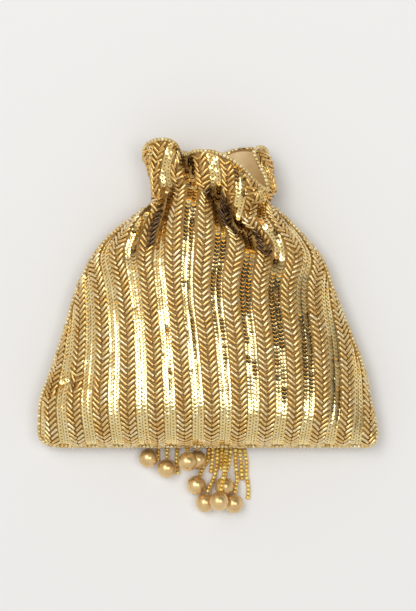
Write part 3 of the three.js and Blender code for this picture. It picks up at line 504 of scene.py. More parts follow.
def pearl_profile():
    """A circle's arc from the lower lip of the hole to the upper one, then down the hole."""
    radius = PEARL_DIAMETER / 2
    lip = math.asin(PEARL_HOLE / 2 / radius) + 0.03
    angle = np.linspace(math.pi - lip, lip, 30)
    arc = np.stack([radius * np.sin(angle), radius * np.cos(angle)], axis=1)
    return np.vstack([arc, (PEARL_HOLE / 2, radius * 0.965), (PEARL_HOLE / 2, -radius * 0.965)])


seed_material = seed_glass("glass_seed_beads", SEED_COLOURS)
pearl_material = plain_material(
    "satin_pearl", PEARL_COLOURS[0], 0.3,
    {"Metallic": 0.75, "Coat Weight": 0.5, "Coat Roughness": 0.12})
mottled(pearl_material, PEARL_COLOURS, 160)
for side, head in HEADS.items():
    pearl_places = {}
    for pearl, (across, up, under) in PEARLS[side].items():
        middle = np.array([
            TASSEL_POINT[side] + across * PEARL_DIAMETER, up * PEARL_DIAMETER, PEARL_DIAMETER / 2])
        if under:
            lower = pearl_places[under]
            apart = np.hypot(*(middle - lower)[:2])
            middle[2] = lower[2] + math.sqrt((PEARL_DIAMETER + TOUCH_GAP) ** 2 - apart**2)
        pearl_places[pearl] = middle
    for number, (points, pearl) in enumerate(STRANDS[side]):
        place = number - (len(STRANDS[side]) - 1) / 2
        layer = number % 2 * STRAND_STEP * math.sqrt(3) / 2
        start = (head[0] + place * STRAND_STEP / 2, head[1] - TOUCH_GAP, STRAND_GROUND + layer)
        own_points = [start, *points]
        if pearl:
            middle = pearl_places[pearl]
            way = unit(np.array(points[-1]) - middle)
            own_points.append(middle + way * (PEARL_DIAMETER / 2 + TOUCH_GAP))
            first = unit(np.cross(way, (1, 0, 0)))
            axes = (first[None], way[None], np.cross(first, way)[None])
            ball, faces = copies(hollow_shape(pearl_profile(), 40), middle[None], *axes)
            piece = new_piece(f"{pearl}_bead", ball, faces)
            piece.data.materials.append(pearl_material)
            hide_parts(pearl)
        route = smooth_route(own_points, CORD_STEP)
        strand = seed_row(f"beads_{side}_{number + 1}", route, (1, 0, 0), seed_material)
        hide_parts(f"strand_{side}_{number + 1}")

# Embroidered panels: a front and a back of gold cloth, sewn together down the sides and along the
# bottom. The drawstring gathers them at the neck, and beyond it they open into a frill. On the
# right the back's half curls round to the front, where the seam is left open in a V.
BAG_WIDTH = 202.8
BELLY_HEIGHT = 40
SEAM_HEIGHT = 13
BOTTOM_ROUND = 32
BACK_ROUND = 15
NECK_WIDTH = 72.2
NECK_SHIFT = 1.5
NECK_CREST = 33
NECK_SEAM = 14.5
NECK_BACK = 5
CINCH = 3
CINCH_SPREAD = 5
WALL = 1.2
SEAM_GAP = 0.4
TAIL_LIFT = 4.2
STRAND_LIFT = 7.5
LIFT_LEFT = -40
LIFT_RIGHT = 30
LIFT_SLOPE = 10
CLOTH_THICKNESS = 0.35
CLOTH_DEPTH = {1: 1.0, -1: 2.0}  # how far the cloth lies below the panel's outer face
SEAM_DEPTH = 0.1  # the same at the seams
SEAM_TURN = 2.5  # length in which it gets there
FRONT, BACK = 1, -1
OUTLINE = np.array([  # place along, left edge, right edge: 0 at the neck's half width, 1 the bag's
    [0, 0.87, 0.963], [0.014, 0.958, 0.986], [0.041, 0.998, 1], [0.086, 0.998, 0.991],
    [0.189, 0.985, 0.935], [0.311, 0.886, 0.879], [0.475, 0.768, 0.738], [0.639, 0.66, 0.589],
    [0.762, 0.533, 0.486], [0.844, 0.398, 0.336], [0.906, 0.244, 0.206], [0.959, 0.09, 0.079],
    [1, 0, 0],
])
NECK_CREASE = np.array([  # place across, millimetres towards the frill
    [-1, 0], [-0.72, 5], [-0.36, 9], [0.06, 1], [0.42, -7], [0.8, -2], [1, 0]])
FOLDS = [  # place across, place along, half width, height
    [(-0.72, 1.02, 4.5, -6), (-0.6, 0.92, 6, -9), (-0.57, 0.845, 7, -7), (-0.6, 0.74, 10, 0)],
    [(-0.9, 1, 5, 1), (-0.84, 0.93, 7, 4), (-0.82, 0.87, 8, 4), (-0.8, 0.76, 12, 0)],
    [(-0.42, 1, 7, 3), (-0.3, 0.94, 11, 5), (-0.14, 0.85, 19, 4), (0, 0.7, 30, 0)],
    [(0.08, 1.02, 5, -8), (0.26, 0.945, 6, -12), (0.44, 0.895, 7, -11), (0.53, 0.82, 8, -7),
     (0.64, 0.69, 10, 0)],
    [(0.56, 1, 6, 2), (0.72, 0.9, 8, 5), (0.8, 0.82, 10, 4), (0.84, 0.7, 14, 0)],
    [(-1, 0.235, 4, -2), (-0.85, 0.272, 4, -3), (-0.74, 0.235, 5, 0)],
]
FRONT_FRILL = np.array([  # place across, rim x, y beyond the neck, height, bow x, y, height
    [-1, -38.7, 26.4, 14.5, 1.6, 0, 0], [-0.83, -38.4, 34.5, 22, 1, 0, 1],
    [-0.64, -30.6, 38.5, 30, 0, 0, 2], [-0.44, -21, 37, 32, 0, 0, 2],
    [-0.25, -15, 29.5, 22, 0, 0, 1], [-0.1, -8.6, 31.4, 33, 0, 0, 3],
    [0.16, 4.2, 30.2, 38, 0, 0, 4], [0.48, 18, 23.5, 37, 0, 0, 4],
    [0.82, 30, 10.9, 31, 0, 0, 2], [1, 36.4, 7.2, 26.4, 0.8, 0, 1],
])
BACK_FRILL = np.array([
    [-1, -38.7, 26.4, 14.5, 1.6, 0, 0], [-0.8, -35, 31, 8, 0, 0, 0],
    [-0.55, -24, 33.5, 5, 0, 0, 0], [-0.3, -9, 31.5, 4, 0, 0, -1],
    [-0.08, 3, 27.5, 4, 0, 0, -1], [0.12, 14, 33, 4, 0, 0, -1],
    [0.3, 22, 34.6, 5, 1, 0, 0], [0.46, 31, 34, 8.5, 4, 0, 0],
    [0.6, 36.6, 31, 14, 7, 0, 0], [0.7, 35.5, 33.4, 19.5, 8.5, 0, 0],
    [0.78, 31, 34.6, 24, 9, 0, 1], [0.85, 27.4, 31.2, 27, 9, 0, 2],
    [0.93, 33.2, 18.6, 27.5, 6, 0, 2], [1, 36.4, 7.2, 26.4, 0.8, 0, 1],
])
CLOTH_COLUMNS = 171
CLOTH_CROWDING = 0.4 * math.pi  # the columns lie as this angle's sines do, closer at the seams
CLOTH_COLOURS = [(0.29, 0.15, 0.03, 1), (0.50, 0.29, 0.07, 1)]
FRILL_SHARES = np.linspace(0, 1, 37)[1:]


def ease(low, high, x):
    """0 below low, 1 above high, and between them 3k² − 2k³ of the share k of the way."""
    k = np.clip((x - low) / (high - low), 0, 1)
    return k * k * (3 - 2 * k)


def mix(a, b, share):
    """The point at a share of the straight way from a to b."""
    return a + (b - a) * share


def through(table, place, column):
    """A smooth curve through a table's rows: a Hermite cubic between each two of them.

    The slope at a row is that of the chord between its two neighbours.
    """
    at, value = table[:, 0], table[:, column]
    low = np.maximum(np.arange(len(at)) - 1, 0)
    high = np.minimum(np.arange(len(at)) + 1, len(at) - 1)
    slope = (value[high] - value[low]) / (at[high] - at[low])
    x = np.clip(place, at[0], at[-1])
    i = np.clip(np.searchsorted(at, x, side="left") - 1, 0, len(at) - 2)
    span = at[i + 1] - at[i]
    k = (x - at[i]) / span
    return (
        value[i] * (1 + 2 * k) * (1 - k) ** 2 + slope[i] * span * k * (1 - k) ** 2
        + value[i + 1] * k * k * (3 - 2 * k) + slope[i + 1] * span * k * k * (k - 1)
    )


def panel_edges(along):
    """The panel's two side edges: from the neck's half width to the bag's, by the outline."""
    left = mix(NECK_SHIFT - NECK_WIDTH / 2, -BAG_WIDTH / 2, through(OUTLINE, along, 1))
    right = mix(NECK_SHIFT + NECK_WIDTH / 2, BAG_WIDTH / 2, through(OUTLINE, along, 2))
    return left, right


def seam_height(along):
    """The seam's height: level up to half way, then easing up to the neck."""
    return mix(SEAM_HEIGHT, NECK_SEAM, ease(0.5, 1, along))


def turn_up(along, turn):
    """A quarter of an ellipse over the length of the turn, 0 at the seam and 1 beyond it."""
    return np.sqrt(1 - (1 - np.clip(along * BODY_LENGTH / turn, 0, 1)) ** 2)


def fold_height(across, along, half_width):
    """The sum of all folds, each height · exp(−(distance / width)²) from the fold's line."""
    total = np.zeros(np.broadcast(across, along).shape)
    for fold in FOLDS:
        nearest = np.full(total.shape, np.inf)
        bell = np.zeros(total.shape)
        for a, b in zip(fold[:-1], fold[1:]):
            dx, dy = (b[0] - a[0]) * half_width, (b[1] - a[1]) * BODY_LENGTH
            px, py = (across - a[0]) * half_width, (along - a[1]) * BODY_LENGTH
            k = np.clip((px * dx + py * dy) / (dx * dx + dy * dy), 0, 1)
            distance = np.hypot(px - k * dx, py - k * dy)
            here = mix(a[3], b[3], k) * np.exp(-((distance / mix(a[2], b[2], k)) ** 2))
            bell = np.where(distance < nearest, here, bell)
            nearest = np.minimum(distance, nearest)
        total += bell
    return total * (1 - np.abs(across) ** 8)


def front_height(across, along, half_width):
    """The belly: crown · turn-up · (1 − |across|^p)^0.6 above the seam, and the folds on it."""
    seam = seam_height(along)
    crown = mix(BELLY_HEIGHT, NECK_CREST, ease(0.45, 1, along))
    boxiness = mix(2.4, 4, ease(0.6, 1, along))
    section = np.maximum(0, 1 - np.abs(across) ** boxiness) ** 0.6
    crease = CINCH * np.exp(-(((1 - along) * BODY_LENGTH / CINCH_SPREAD) ** 2))
    rise = (crown - seam - crease) * turn_up(along, BOTTOM_ROUND) * section
    return seam + rise + fold_height(across, along, half_width)


def back_height(across, along, x, wider=0.0):
    """Flat on the ground, raised over the tails and strands, and turned up to the seam."""
    seam = seam_height(along)
    rest = NECK_BACK * ease(0.55, 1, along)
    lift = mix(STRAND_LIFT, TAIL_LIFT, ease(0.25, 0.42, along - wider / BODY_LENGTH))
    window = ease(LIFT_LEFT - LIFT_SLOPE, LIFT_LEFT, x + wider) * (
        1 - ease(LIFT_RIGHT, LIFT_RIGHT + LIFT_SLOPE, x - wider))
    depth = seam - mix(rest, np.maximum(rest, lift), window)
    section = np.minimum(1, 1.14 * np.maximum(0, 1 - across**4) ** 0.6)
    return seam - depth * turn_up(along, BACK_ROUND) * section


def body_points(side, across, along):
    """Points of a panel's outer face: x across its edges, y along with the neck's crease, z."""
    left, right = panel_edges(along)
    half_width = (right - left) / 2
    x = (left + right) / 2 + half_width * across
    y = along * BODY_LENGTH + 0 * x
    if side == FRONT:
        y = y + through(NECK_CREASE, across, 1) * ease(0.8, 1, along)
        z = front_height(across, along, half_width)
    else:
        z = back_height(across, along, x)
    return np.stack([x, y, z + side * SEAM_GAP / 2], axis=-1)


def body_rows(side, along, columns):
    """Rows of a panel whose points divide each row's own length as the columns ask."""
    samples = np.sin((np.linspace(0, 1, 241) - 0.5) * math.pi)
    lengths = travelled(body_points(side, samples[None, :], along[:, None]))
    across = np.array([
        np.interp((columns + 1) / 2 * length[-1], length, samples) for length in lengths])
    return body_points(side, across, along[:, None])


def frill_rows(side, shares, columns):
    """Rows of the frill: a parabola from the neck, through a bowed middle, to the rim."""
    table = FRONT_FRILL if side == FRONT else BACK_FRILL
    neck = body_rows(side, np.array([1.0]), columns)[0]
    rim, bow = np.split(np.stack([through(table, columns, k) for k in range(1, 7)], axis=1), 2, axis=1)
    rim = rim + (0, BODY_LENGTH, side * SEAM_GAP / 2)
    rim = rim + unit(neck - rim) * SEED_DIAMETER
    middle = (neck + rim) / 2 + bow
    s = np.asarray(shares, float)[:, None, None]
    return neck * (1 - s) * (1 - 2 * s) + middle * 4 * s * (1 - s) + rim * s * (2 * s - 1)


def outward(grid, side):
    """Unit cross products of a grid's two directions; level along the seams and the bottom.

    At the two bottom corners, where the directions vanish, they are halfway between neighbours.
    """
    normal = np.cross(np.gradient(grid, axis=1), np.gradient(grid, axis=0)) * side
    normal[:, 0, 2] = 0
    normal[:, -1, 2] = 0
    normal[0, :, 2] = 0
    normal[0, 0] = normal[0, 1] + normal[1, 0]
    normal[0, -1] = normal[0, -2] + normal[1, -1]
    return unit(normal)


def closed_wall(outer, inner, side):
    """Points and faces of the wall between two grids: both faces and the four edges."""
    rows, columns = outer.shape[:2]
    count = rows * columns
    skin = grid_faces(rows, columns)
    index = np.arange(count).reshape(rows, columns)
    faces = [skin, skin[:, ::-1] + count]
    for edge in (index[0], index[:, -1], index[-1, ::-1], index[::-1, 0]):
        faces.append(np.stack([edge[1:], edge[:-1], edge[:-1] + count, edge[1:] + count], axis=1))
    faces = np.vstack(faces)
    if side == BACK:
        faces = faces[:, ::-1]
    return np.vstack([outer.reshape(-1, 3), inner.reshape(-1, 3)]), faces


def row_distances(face, along):
    """For each row, its points' distances along it from where it crosses the bag's middle.

    Beyond the neck they start from the column that lies in the middle at the neck.
    """
    lengths = travelled(face)
    neck = int(np.argmin(np.abs(along - 1)))
    column = np.arange(lengths.shape[1])
    zero = np.array([np.interp(0, row[:, 0], column) for row in face[:neck + 1]])
    zero = np.r_[zero, np.full(len(lengths) - neck - 1, zero[neck])]
    return lengths - np.array([np.interp(z, column, row) for z, row in zip(zero, lengths)])[:, None]


cloth_material = plain_material("embroidery_ground", CLOTH_COLOURS[0], 0.6, {})
mottled(cloth_material, CLOTH_COLOURS, 260)
noise_bump(cloth_material, 3500, 0.6, 0.15)
cloth_columns = np.sin(np.linspace(-1, 1, CLOTH_COLUMNS) * CLOTH_CROWDING) / math.sin(CLOTH_CROWDING)
PANELS = {}
for side, name, turn in ((FRONT, "front", BOTTOM_ROUND), (BACK, "back", BACK_ROUND)):
    turning = turn / BODY_LENGTH * (1 - np.cos(np.linspace(0, math.pi / 2, 25)))
    straight = np.linspace(turn / BODY_LENGTH, 1, round((BODY_LENGTH - turn) / 1.1))[1:]
    body_along = np.r_[turning, straight]
    along = np.r_[body_along, 1 + FRILL_SHARES]
    face = np.concatenate([
        body_rows(side, body_along, cloth_columns), frill_rows(side, FRILL_SHARES, cloth_columns)])
    normal = outward(face, side)
    to_seam = np.minimum(*(np.linalg.norm(face - face[:, edge], axis=2) for edge in ([0], [-1])))
    depth = mix(SEAM_DEPTH, CLOTH_DEPTH[side], ease(0, SEAM_TURN, to_seam))[..., None]
    outer = face - normal * depth
    points, faces = closed_wall(outer, outer - normal * CLOTH_THICKNESS, side)
    cloth = new_piece(f"{name}_cloth", points, faces)
    cloth.data.materials.append(cloth_material)
    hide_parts(f"{name}_panel")
    PANELS[side] = {
        "name": name, "along": along, "face": face, "normal": normal, "cloth": cloth,
        "distances": row_distances(face, along),
    }

# Sequin stripes: cupped metal-foil sequins with a hole in the middle, two columns to a stripe,
# each sewn down through its hole and over the one below it, as scales lie.
STRIPES = range(-8, 9)
STRIPE_LINES = np.array([  # place along, where the middle stripe lies, pitch left and right of it
    [0, -6, 16, 15.8], [0.17, -5.9, 16.8, 16.6], [0.42, -9.1, 15.6, 17.2],
    [0.65, -12.5, 15.6, 17.4], [0.86, -11.4, 19, 19.4], [1, -11, 18.5, 18.5], [2, -9, 17.5, 17.5],
])
SEQUIN_DIAMETER = 3.5
SEQUIN_PITCH = 2.3
SEQUIN_HOLE = 1.1
SEQUIN_RINGS = [  # share of the radius, height: from the hole underneath to the rim and back on top
    (0, -0.06), (1, 0.09), (0.5, 0.02), (0, 0),
]
SEQUIN_START = 1.8  # least distance of a column's first one from the bottom
SEQUIN_HEIGHT = 0.3  # above the cloth
SEQUIN_TILT = 9  # degrees, lower edge up
NECK_TILT = 4  # further degrees, near the neck
NECK_ROWS = (0.74, 0.85)  # places along between which they come in
SEQUIN_RUNS = 26  # runs of sequins that lean alike, in a column
RUN_LEAN = (2.6, 2.2)  # degrees that a run leans along the column and across it
SEQUIN_LOOSE = (1, 5, 7)  # degrees that one leans by itself, and more in the frill and the crease
SEQUIN_SPREAD = 1.72  # middle of a column from the middle of its stripe
EDGE_MARGIN = 1.2
END_MARGIN = 0.8
FRILL_START = (0.96, 1.05)  # places along between which the frill's disorder and its painted shade come in
CREASE = [(-99, 34), (-83, 40), (-72, 35)]  # the line of the front's lower left crease
CREASE_REACH = 5
# Painted shade in the neck's folds: a darker tone for copies that lie low in them
HOLLOW_REACH = 16
HOLLOW_DEPTH = (0.1, 2.6)  # below the mean height about it, from where the painted shade starts to where it is fully dark
HOLLOW_ROWS = (0.6, 0.76)  # places along between which hollows start to count
HOLLOW_SIDES = (3, 16)  # the same for distances from the sides
SEQUIN_COLOURS = [  # the first is painted shade, deep in the folds of the neck
    (0.22, 0.11, 0.03, 1), (0.96, 0.70, 0.28, 1), (1.0, 0.79, 0.37, 1), (1.0, 0.87, 0.50, 1),
]
DARKEST = 0.33  # tone of the second colour, the darkest one outside the painted shade
MIDDLE_TONE = 0.67
SEQUIN_TONES = (0.14, 0.4)  # random part of a tone, and the share that the painted shade in the frill takes off
# painted shade along the front's lower left crease: the share of the tone that it takes off
CREASE_SHADE = 0.6


def stripe_place(along, number):
    """Where a stripe lies on each row: the middle stripe's place, and its number in pitches."""
    pitch = through(STRIPE_LINES, along, 2 if number < 0 else 3)
    return through(STRIPE_LINES, along, 1) + number * pitch


def places_along(side, number, shift, pitch, start):
    """Places at equal steps along the line that keeps a distance from a stripe's middle.

    Returns points of the outer face, its normals, the directions along the line, and the places
    along the panel. Places where the line has run off the panel's edge are left out.
    """
    panel = PANELS[side]
    column = np.arange(panel["face"].shape[1])
    wanted = stripe_place(panel["along"], number) + shift
    found = np.array([np.interp(w, row, column) for w, row in zip(wanted, panel["distances"])])
    inside = (
        (wanted > panel["distances"][:, 0] + EDGE_MARGIN)
        & (wanted < panel["distances"][:, -1] - EDGE_MARGIN)
    )
    low = np.minimum(found.astype(int), len(column) - 2)
    share = (found - low)[:, None]
    row = np.arange(len(found))
    line = mix(panel["face"][row, low], panel["face"][row, low + 1], share)
    normals = mix(panel["normal"][row, low], panel["normal"][row, low + 1], share)
    lengths = travelled(line)
    at = np.arange(start, lengths[-1] - END_MARGIN, pitch)
    heading = np.gradient(line, lengths, axis=0)
    keep = np.interp(at, lengths, inside.astype(float)) > 0.99
    points, normals, heading = (read_at(at, lengths, v)[keep] for v in (line, normals, heading))
    along = np.interp(at, lengths, panel["along"])[keep]
    normals = unit(normals)
    heading = unit(heading - normals * np.sum(heading * normals, axis=1, keepdims=True))
    return points, normals, heading, along


def tilted(first, second, third, degrees):
    """Turns the second and third directions about the first by an angle for each copy."""
    angle = np.radians(degrees)[:, None]
    return (
        first,
        second * np.cos(angle) + third * np.sin(angle),
        third * np.cos(angle) - second * np.sin(angle),
    )


def wander(along):
    """A random value that stays the same for a run of a column, between random places."""
    ends = np.sort(random.uniform(0, 1.4, SEQUIN_RUNS))
    return random.normal(0, 1, SEQUIN_RUNS + 1)[np.searchsorted(ends, along)]


def hollow_shade(points, along):
    """0 to 1: painted shade by how far a point of the neck lies below the mean height within reach."""
    place = points[:, :2]
    near = np.sum((place[:, None] - place[None]) ** 2, axis=2) < HOLLOW_REACH**2
    below = near @ points[:, 2] / near.sum(axis=1) - points[:, 2]
    left, right = panel_edges(along)
    inside = ease(*HOLLOW_SIDES, np.minimum(place[:, 0] - left, right - place[:, 0]))
    return ease(*HOLLOW_DEPTH, below) * ease(*HOLLOW_ROWS, along) * inside


def creased(points, side):
    """1 on the crease in the front's lower left, falling off as exp(−(distance / reach)²)."""
    x = np.linspace(CREASE[0][0], CREASE[-1][0], 30)
    line = np.stack([x, np.interp(x, *np.transpose(CREASE))], axis=1)
    distance = np.linalg.norm(points[:, None, :2] - line, axis=2).min(axis=1)
    return np.exp(-((distance / CREASE_REACH) ** 2)) * (side == FRONT)


def panel_tones(amounts, points, along, side, jitter):
    """The middle tone and a random part, with painted shade in hollows, in the crease and in the
    frill.
    """
    spread, frill_shade = amounts
    # painted shade: darker in the neck's hollows, along the crease and in the frill
    tone = np.clip(MIDDLE_TONE + spread * jitter, DARKEST, 1) * (1 - hollow_shade(points, along))
    tone *= 1 - CREASE_SHADE * creased(points, side)
    return tone * (1 - frill_shade * ease(*FRILL_START, along))


def looseness(amounts, points, along, side):
    """The plain amount, one more times the frill's share and one more times the crease's."""
    frill, crease = ease(*FRILL_START, along), creased(points, side)
    return amounts[0] + amounts[1] * frill + amounts[2] * crease


sequin_material = plain_material("foil_sequins", SEQUIN_COLOURS[1], 0.16, {"Metallic": 1})
toned(sequin_material, SEQUIN_COLOURS)
sequin_profile = [
    (mix(SEQUIN_HOLE, SEQUIN_DIAMETER, share) / 2, height) for share, height in SEQUIN_RINGS]
for side, panel in PANELS.items():
    parts, leans = [], []
    for stripe in STRIPES:
        for column in (-1, 1):
            start = SEQUIN_START + random.uniform(0, SEQUIN_PITCH)
            part = places_along(side, stripe, column * SEQUIN_SPREAD, SEQUIN_PITCH, start)
            parts.append(part)
            leans.append(np.stack([wander(part[3]), wander(part[3])], axis=1))
    points, normals, heading, along = map(np.concatenate, zip(*parts))
    lean = np.concatenate(leans) * RUN_LEAN
    first = np.cross(heading, normals)
    jitter = random.normal(0, 1, (len(points), 3))
    lean += looseness(SEQUIN_LOOSE, points, along, side)[:, None] * jitter[:, :2]
    steeper = NECK_TILT * ease(*NECK_ROWS, along) * (1 - ease(*FRILL_START, along))
    first, second, third = tilted(first, heading, normals, lean[:, 0] - SEQUIN_TILT - steeper)
    second, third, first = tilted(second, third, first, lean[:, 1])
    shape = hollow_shape(sequin_profile, 10)
    places = points + normals * (SEQUIN_HEIGHT - CLOTH_DEPTH[side])
    sequins = new_piece(
        f"{panel['name']}_sequins", *copies(shape, places, first, third, -second), smooth=False)
    tones = panel_tones(SEQUIN_TONES, points, along, side, jitter[:, 2])
    set_tone(sequins, np.repeat(tones, len(shape[0])))
    sequins.data.materials.append(sequin_material)
    panel["sequins"] = sequins

# Bugle bands: glass tube beads sewn slanting in two columns between the stripes, whose lower ends
# meet in the middle, so that each pair makes a V.
BUGLE_LENGTH = 5.7
BUGLE_DIAMETER = 1.85
BUGLE_HOLE = 0.8
BUGLE_PITCH = 3.3
BUGLE_SLOPE = 43  # degrees from straight across
BUGLE_SPREAD = 2.45
BUGLE_START = 1.9  # distance of a column's first one from the bottom
BUGLE_LIFT = 0.02  # clear of the cloth
BUGLE_CHAMFER = 0.2
BUGLE_END = 0.86  # share of the radius at the ends
BUGLE_LOOSE = (2.5, 12, 22)  # degrees off the slope, and more in the frill and in the crease
BUGLE_UNEVEN = 0.03  # share that one rises by itself, or is longer
# random part of a tone, and the share that the painted shade in the frill takes off
BUGLE_TONES = (0.16, 0.42)
# the first is painted shade, deep in the folds of the neck
BUGLE_COLOURS = [
    (0.10, 0.045, 0.015, 1), (0.76, 0.465, 0.12, 1), (0.87, 0.63, 0.25, 1), (0.94, 0.78, 0.46, 1),
]


def bugle_profile():
    """The outer edge, chamfered at both ends, and the hole's two ends."""
    radius, half, hole = BUGLE_DIAMETER / 2, BUGLE_LENGTH / 2, BUGLE_HOLE / 2
    return [
        (hole, -half), (radius * BUGLE_END, -half), (radius, -half + BUGLE_CHAMFER),
        (radius, half - BUGLE_CHAMFER), (radius * BUGLE_END, half), (hole, half),
    ]


bugle_material = plain_material(
    "glass_bugles", BUGLE_COLOURS[1], 0.24,
    {"Metallic": 0.85, "Coat Weight": 0.9, "Coat Roughness": 0.06})
toned(bugle_material, BUGLE_COLOURS)
for side, panel in PANELS.items():
    parts, slants = [], []
    for band in STRIPES:
        for column in (-1, 1):
            part = places_along(side, band + 0.5, column * BUGLE_SPREAD, BUGLE_PITCH, BUGLE_START)
            parts.append(part)
            slants.append(np.full(len(part[0]), column))
    points, normals, heading, along = map(np.concatenate, zip(*parts))
    jitter = random.normal(0, 1, (len(points), 4))
    messy = looseness(BUGLE_LOOSE, points, along, side) * jitter[:, 0]
    slope = np.radians(np.concatenate(slants) * BUGLE_SLOPE + messy)[:, None]
    axis = np.cross(heading, normals) * np.cos(slope) + heading * np.sin(slope)
    axis = unit(axis + normals * BUGLE_UNEVEN * jitter[:, 1:2])
    first = unit(np.cross(axis, normals))
    shape = hollow_shape(bugle_profile(), 8, 0.5)
    places = points + normals * (BUGLE_DIAMETER / 2 - CLOTH_DEPTH[side] + BUGLE_LIFT)
    size = np.ones((len(points), 3))
    size[:, 1] += BUGLE_UNEVEN * jitter[:, 2]
    all_points, faces = copies(shape, places, first, axis, np.cross(first, axis), size)
    all_points[:, 2] = np.maximum(all_points[:, 2], GROUND_GAP)
    bugles = new_piece(f"{panel['name']}_bugles", all_points, faces)
    tones = panel_tones(BUGLE_TONES, points, along, side, jitter[:, 3])
    set_tone(bugles, np.repeat(tones, len(shape[0])))
    bugles.data.materials.append(bugle_material)
    panel["bugles"] = bugles

# Drawstring: the ring of twisted cord in its stitched channel round the neck, inside the gathers.
RING_HALF_WIDTH = 33.35
RING_LOW = 7.75
RING_HALF_HEIGHT = 5.75
RING_GAP = 0.02  # half angle between its two ends


def ring_points(angle, inward):
    """An oval round the neck, whose top half follows the neck's crease."""
    across, up = np.sin(angle), -np.cos(angle)
    rise = np.where(up > 0, through(NECK_CREASE, across, 1) * ease(0, 0.5, up), 0)
    return np.stack([
        NECK_SHIFT + (RING_HALF_WIDTH - 1.8 * inward) * across,
        BODY_LENGTH + rise,
        RING_LOW + RING_HALF_HEIGHT + (RING_HALF_HEIGHT - inward) * up,
    ], axis=-1)


ring_line = even_steps(
    ring_points(np.linspace(RING_GAP, 2 * math.pi - RING_GAP, 400), 0), CORD_STEP)
ring = twisted_cord("drawstring_ring", ring_line, (0, 1, 0))
ring.data.materials.append(cord_material)
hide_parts("drawstring")

# Lining: a bag of champagne satin inside the panels, which the channel draws in at the neck and
# which shows inside the open frill. Its edge is turned under and stitched along the rim.
LINING_WALL = 0.6
LINING_EASE = 1.3
FRILL_EASE = 1.8
FOLD_EASE = 14
CHANNEL = 6
LINING_START = 0.03
LINING_RIM = 0.96
LINING_COLUMNS = 97
LINING_COLOURS = [(0.70, 0.48, 0.20, 1), (0.80, 0.58, 0.28, 1)]


def lining_body(side, column, along, inset):
    """The lining's own smooth bag: under the cloth without its folds, then the channel's oval."""
    across = np.sin(column * math.pi / 2)
    left, right = panel_edges(along)
    half_width = (right - left) / 2
    away = WALL + LINING_EASE + inset
    x = (left + right) / 2 + (half_width - away) * across
    seam = seam_height(along)
    below = np.maximum(0, along - away / BODY_LENGTH)
    if side == FRONT:
        cloth = (
            front_height(across, below, half_width) - fold_height(across, below, half_width)
            - FOLD_EASE * ease(0.55, 0.8, along))
    else:
        cloth = back_height(across, below, x, LIFT_SLOPE)
    level = np.sqrt(np.maximum(0, 1 - across * across))
    depth = (np.abs(cloth - seam) - away) * np.minimum(1, level * 3)
    z = seam + side * np.maximum((2 * LINING_WALL - inset) * level, depth)
    y = body_points(side, across, along)[..., 1]
    angle = math.pi - column * math.pi / 2 if side == FRONT else column * math.pi / 2
    oval = ring_points(angle, CORD_DIAMETER / 2 + TOUCH_GAP + inset) - (0, CHANNEL / 2, 0)
    oval = np.broadcast_to(oval, (*x.shape, 3))
    return mix(np.stack([x, y, z], axis=-1), oval, ease(0.84, 1, along)[..., None])


def lining_layer(inset):
    """Rows of rings: the bag, the channel, and the satin behind the frill."""
    columns = np.sin(np.linspace(-1, 1, LINING_COLUMNS) * math.pi / 2)
    bag_along = np.linspace(LINING_START, 1, 70)[:, None]
    bag_along = bag_along + np.where(np.arange(70) == 0, inset / BODY_LENGTH, 0)[:, None]
    shares = np.linspace(0.3, LINING_RIM, 26)
    halves = []
    for side in (FRONT, BACK):
        body = lining_body(side, columns[None, :], bag_along, inset)
        channel_end = body[-1:] + (0, CHANNEL, 0)
        frill = frill_rows(side, shares, columns)
        frill = frill - outward(frill, side) * (WALL + FRILL_EASE + inset)
        way = np.linspace(0, 1, 8)[1:-1, None, None]
        halves.append(np.concatenate([body, channel_end, mix(channel_end, frill[:1], way), frill]))
    front, back = halves
    for edge in (0, -1):
        front[:, edge] = (front[:, edge] + back[:, edge]) / 2
    return np.concatenate([front, back[:, -2:0:-1]], axis=1)


layers = [lining_layer(0), lining_layer(LINING_WALL)]
rows, loop = layers[0].shape[:2]
count = rows * loop
skin = grid_faces(rows, loop, ring=True)
around = np.arange(loop)
onward = (around + 1) % loop
last = (rows - 1) * loop
rim_faces = np.stack([
    last + around, last + onward, count + last + onward, count + last + around], axis=1)
front_ids = np.arange(LINING_COLUMNS)
back_ids = (loop - front_ids) % loop
back_ids[-1] = LINING_COLUMNS - 1
bottom = np.stack([front_ids[:-1], back_ids[:-1], back_ids[1:], front_ids[1:]], axis=1)
left_end, right_end = bottom[0, [0, 2, 3]], bottom[-1, [0, 1, 2]]
middle = bottom[1:-1]
lining = new_piece(
    "satin_lining",
    np.vstack([layer.reshape(-1, 3) for layer in layers]),
    [
        np.vstack([skin, skin[:, ::-1] + count, rim_faces, middle, middle[:, ::-1] + count]),
        np.stack([left_end, right_end, left_end[::-1] + count, right_end[::-1] + count]),
    ],
)
lining_material = plain_material(
    "champagne_satin", LINING_COLOURS[0], 0.34,
    {"Sheen Weight": 0.35, "Sheen Roughness": 0.35, "Anisotropic": 0.5})
mottled(lining_material, LINING_COLOURS, 90)
noise_bump(lining_material, 2600, 0.25, 0.1)
lining.data.materials.append(lining_material)
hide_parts("lining")

# Trims: the same seed beads, picked up one by one along both side seams, along the bottom seam
# and round the rim of the mouth.
NOTCH_FRONT = 0.86
NOTCH_BACK = 0.94
EDGE_TOP = 0.975
EDGE_REACH = 0.5  # the trims' beads lie half under the bugles and sequins
TRIM_STEP = 0.8
TRIM_COLOURS = [(0.62, 0.42, 0.13, 1), (0.78, 0.60, 0.27, 1), (0.88, 0.74, 0.42, 1)]


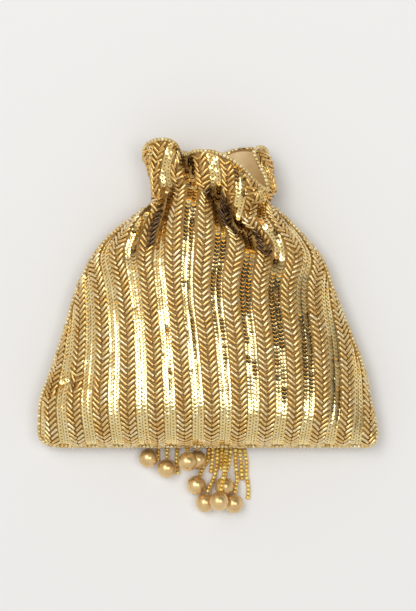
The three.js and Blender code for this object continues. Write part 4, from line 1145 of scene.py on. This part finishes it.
def edge_line():
    """Down the left seam, along the bottom and up the right seam, a bead's radius outside."""
    along = EDGE_TOP * np.linspace(1, 0, 400) ** 2
    left, right = panel_edges(along)
    y, z = along * BODY_LENGTH, seam_height(along)
    left_side = np.stack([left, y, z], axis=1)
    right_side = np.stack([right, y, z], axis=1)[::-1]
    bottom = mix(left_side[-1], right_side[0], np.linspace(0, 1, 300)[1:-1, None])
    line = even_steps(np.vstack([left_side, bottom, right_side]), TRIM_STEP)
    for _ in range(6):
        line[1:-1] = (line[:-2] + line[1:-1] * 2 + line[2:]) / 4
    heading = unit(np.gradient(line, axis=0))
    out = unit(np.stack([heading[:, 1], -heading[:, 0], 0 * heading[:, 0]], axis=1))
    return even_steps(line + out * EDGE_REACH, TRIM_STEP)


def rim_line(side, columns):
    """The rim of one panel's frill, moved a bead's radius on in the cloth's own direction."""
    grid = frill_rows(side, (0.9, 1), columns)
    normal = outward(grid, side)[1]
    onward = unit(np.cross(normal, np.gradient(grid[1], axis=0))) * side
    return grid[1] + onward * EDGE_REACH


def notch_point():
    """A point beside the open seam's tip, on the line that halves the angle of its two edges."""
    front_edge, tip = frill_rows(FRONT, [1], np.array([NOTCH_FRONT, 1]))[0]
    back_edge = frill_rows(BACK, [1], np.array([NOTCH_BACK]))[0, 0]
    ways = unit(np.stack([front_edge - tip, back_edge - tip]))
    half = math.acos(float(ways[0] @ ways[1])) / 2
    return tip + unit(ways.sum(axis=0)) * EDGE_REACH / math.sin(half)


front_rim = rim_line(FRONT, np.linspace(-1, NOTCH_FRONT, 90))
back_rim = rim_line(BACK, np.linspace(-1, NOTCH_BACK, 140)[4:])[::-1]
mouth_line = even_steps(np.vstack([front_rim, notch_point(), back_rim]), TRIM_STEP)
trim_material = seed_glass("pale_seed_beads", TRIM_COLOURS)
for name, line in (("edge", edge_line()), ("mouth", mouth_line)):
    trim = seed_row(f"{name}_beads", line, (0.05, 0.1, 1), trim_material, thread=False)
    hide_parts(f"{name}_trim")

bpy.context.view_layer.update()
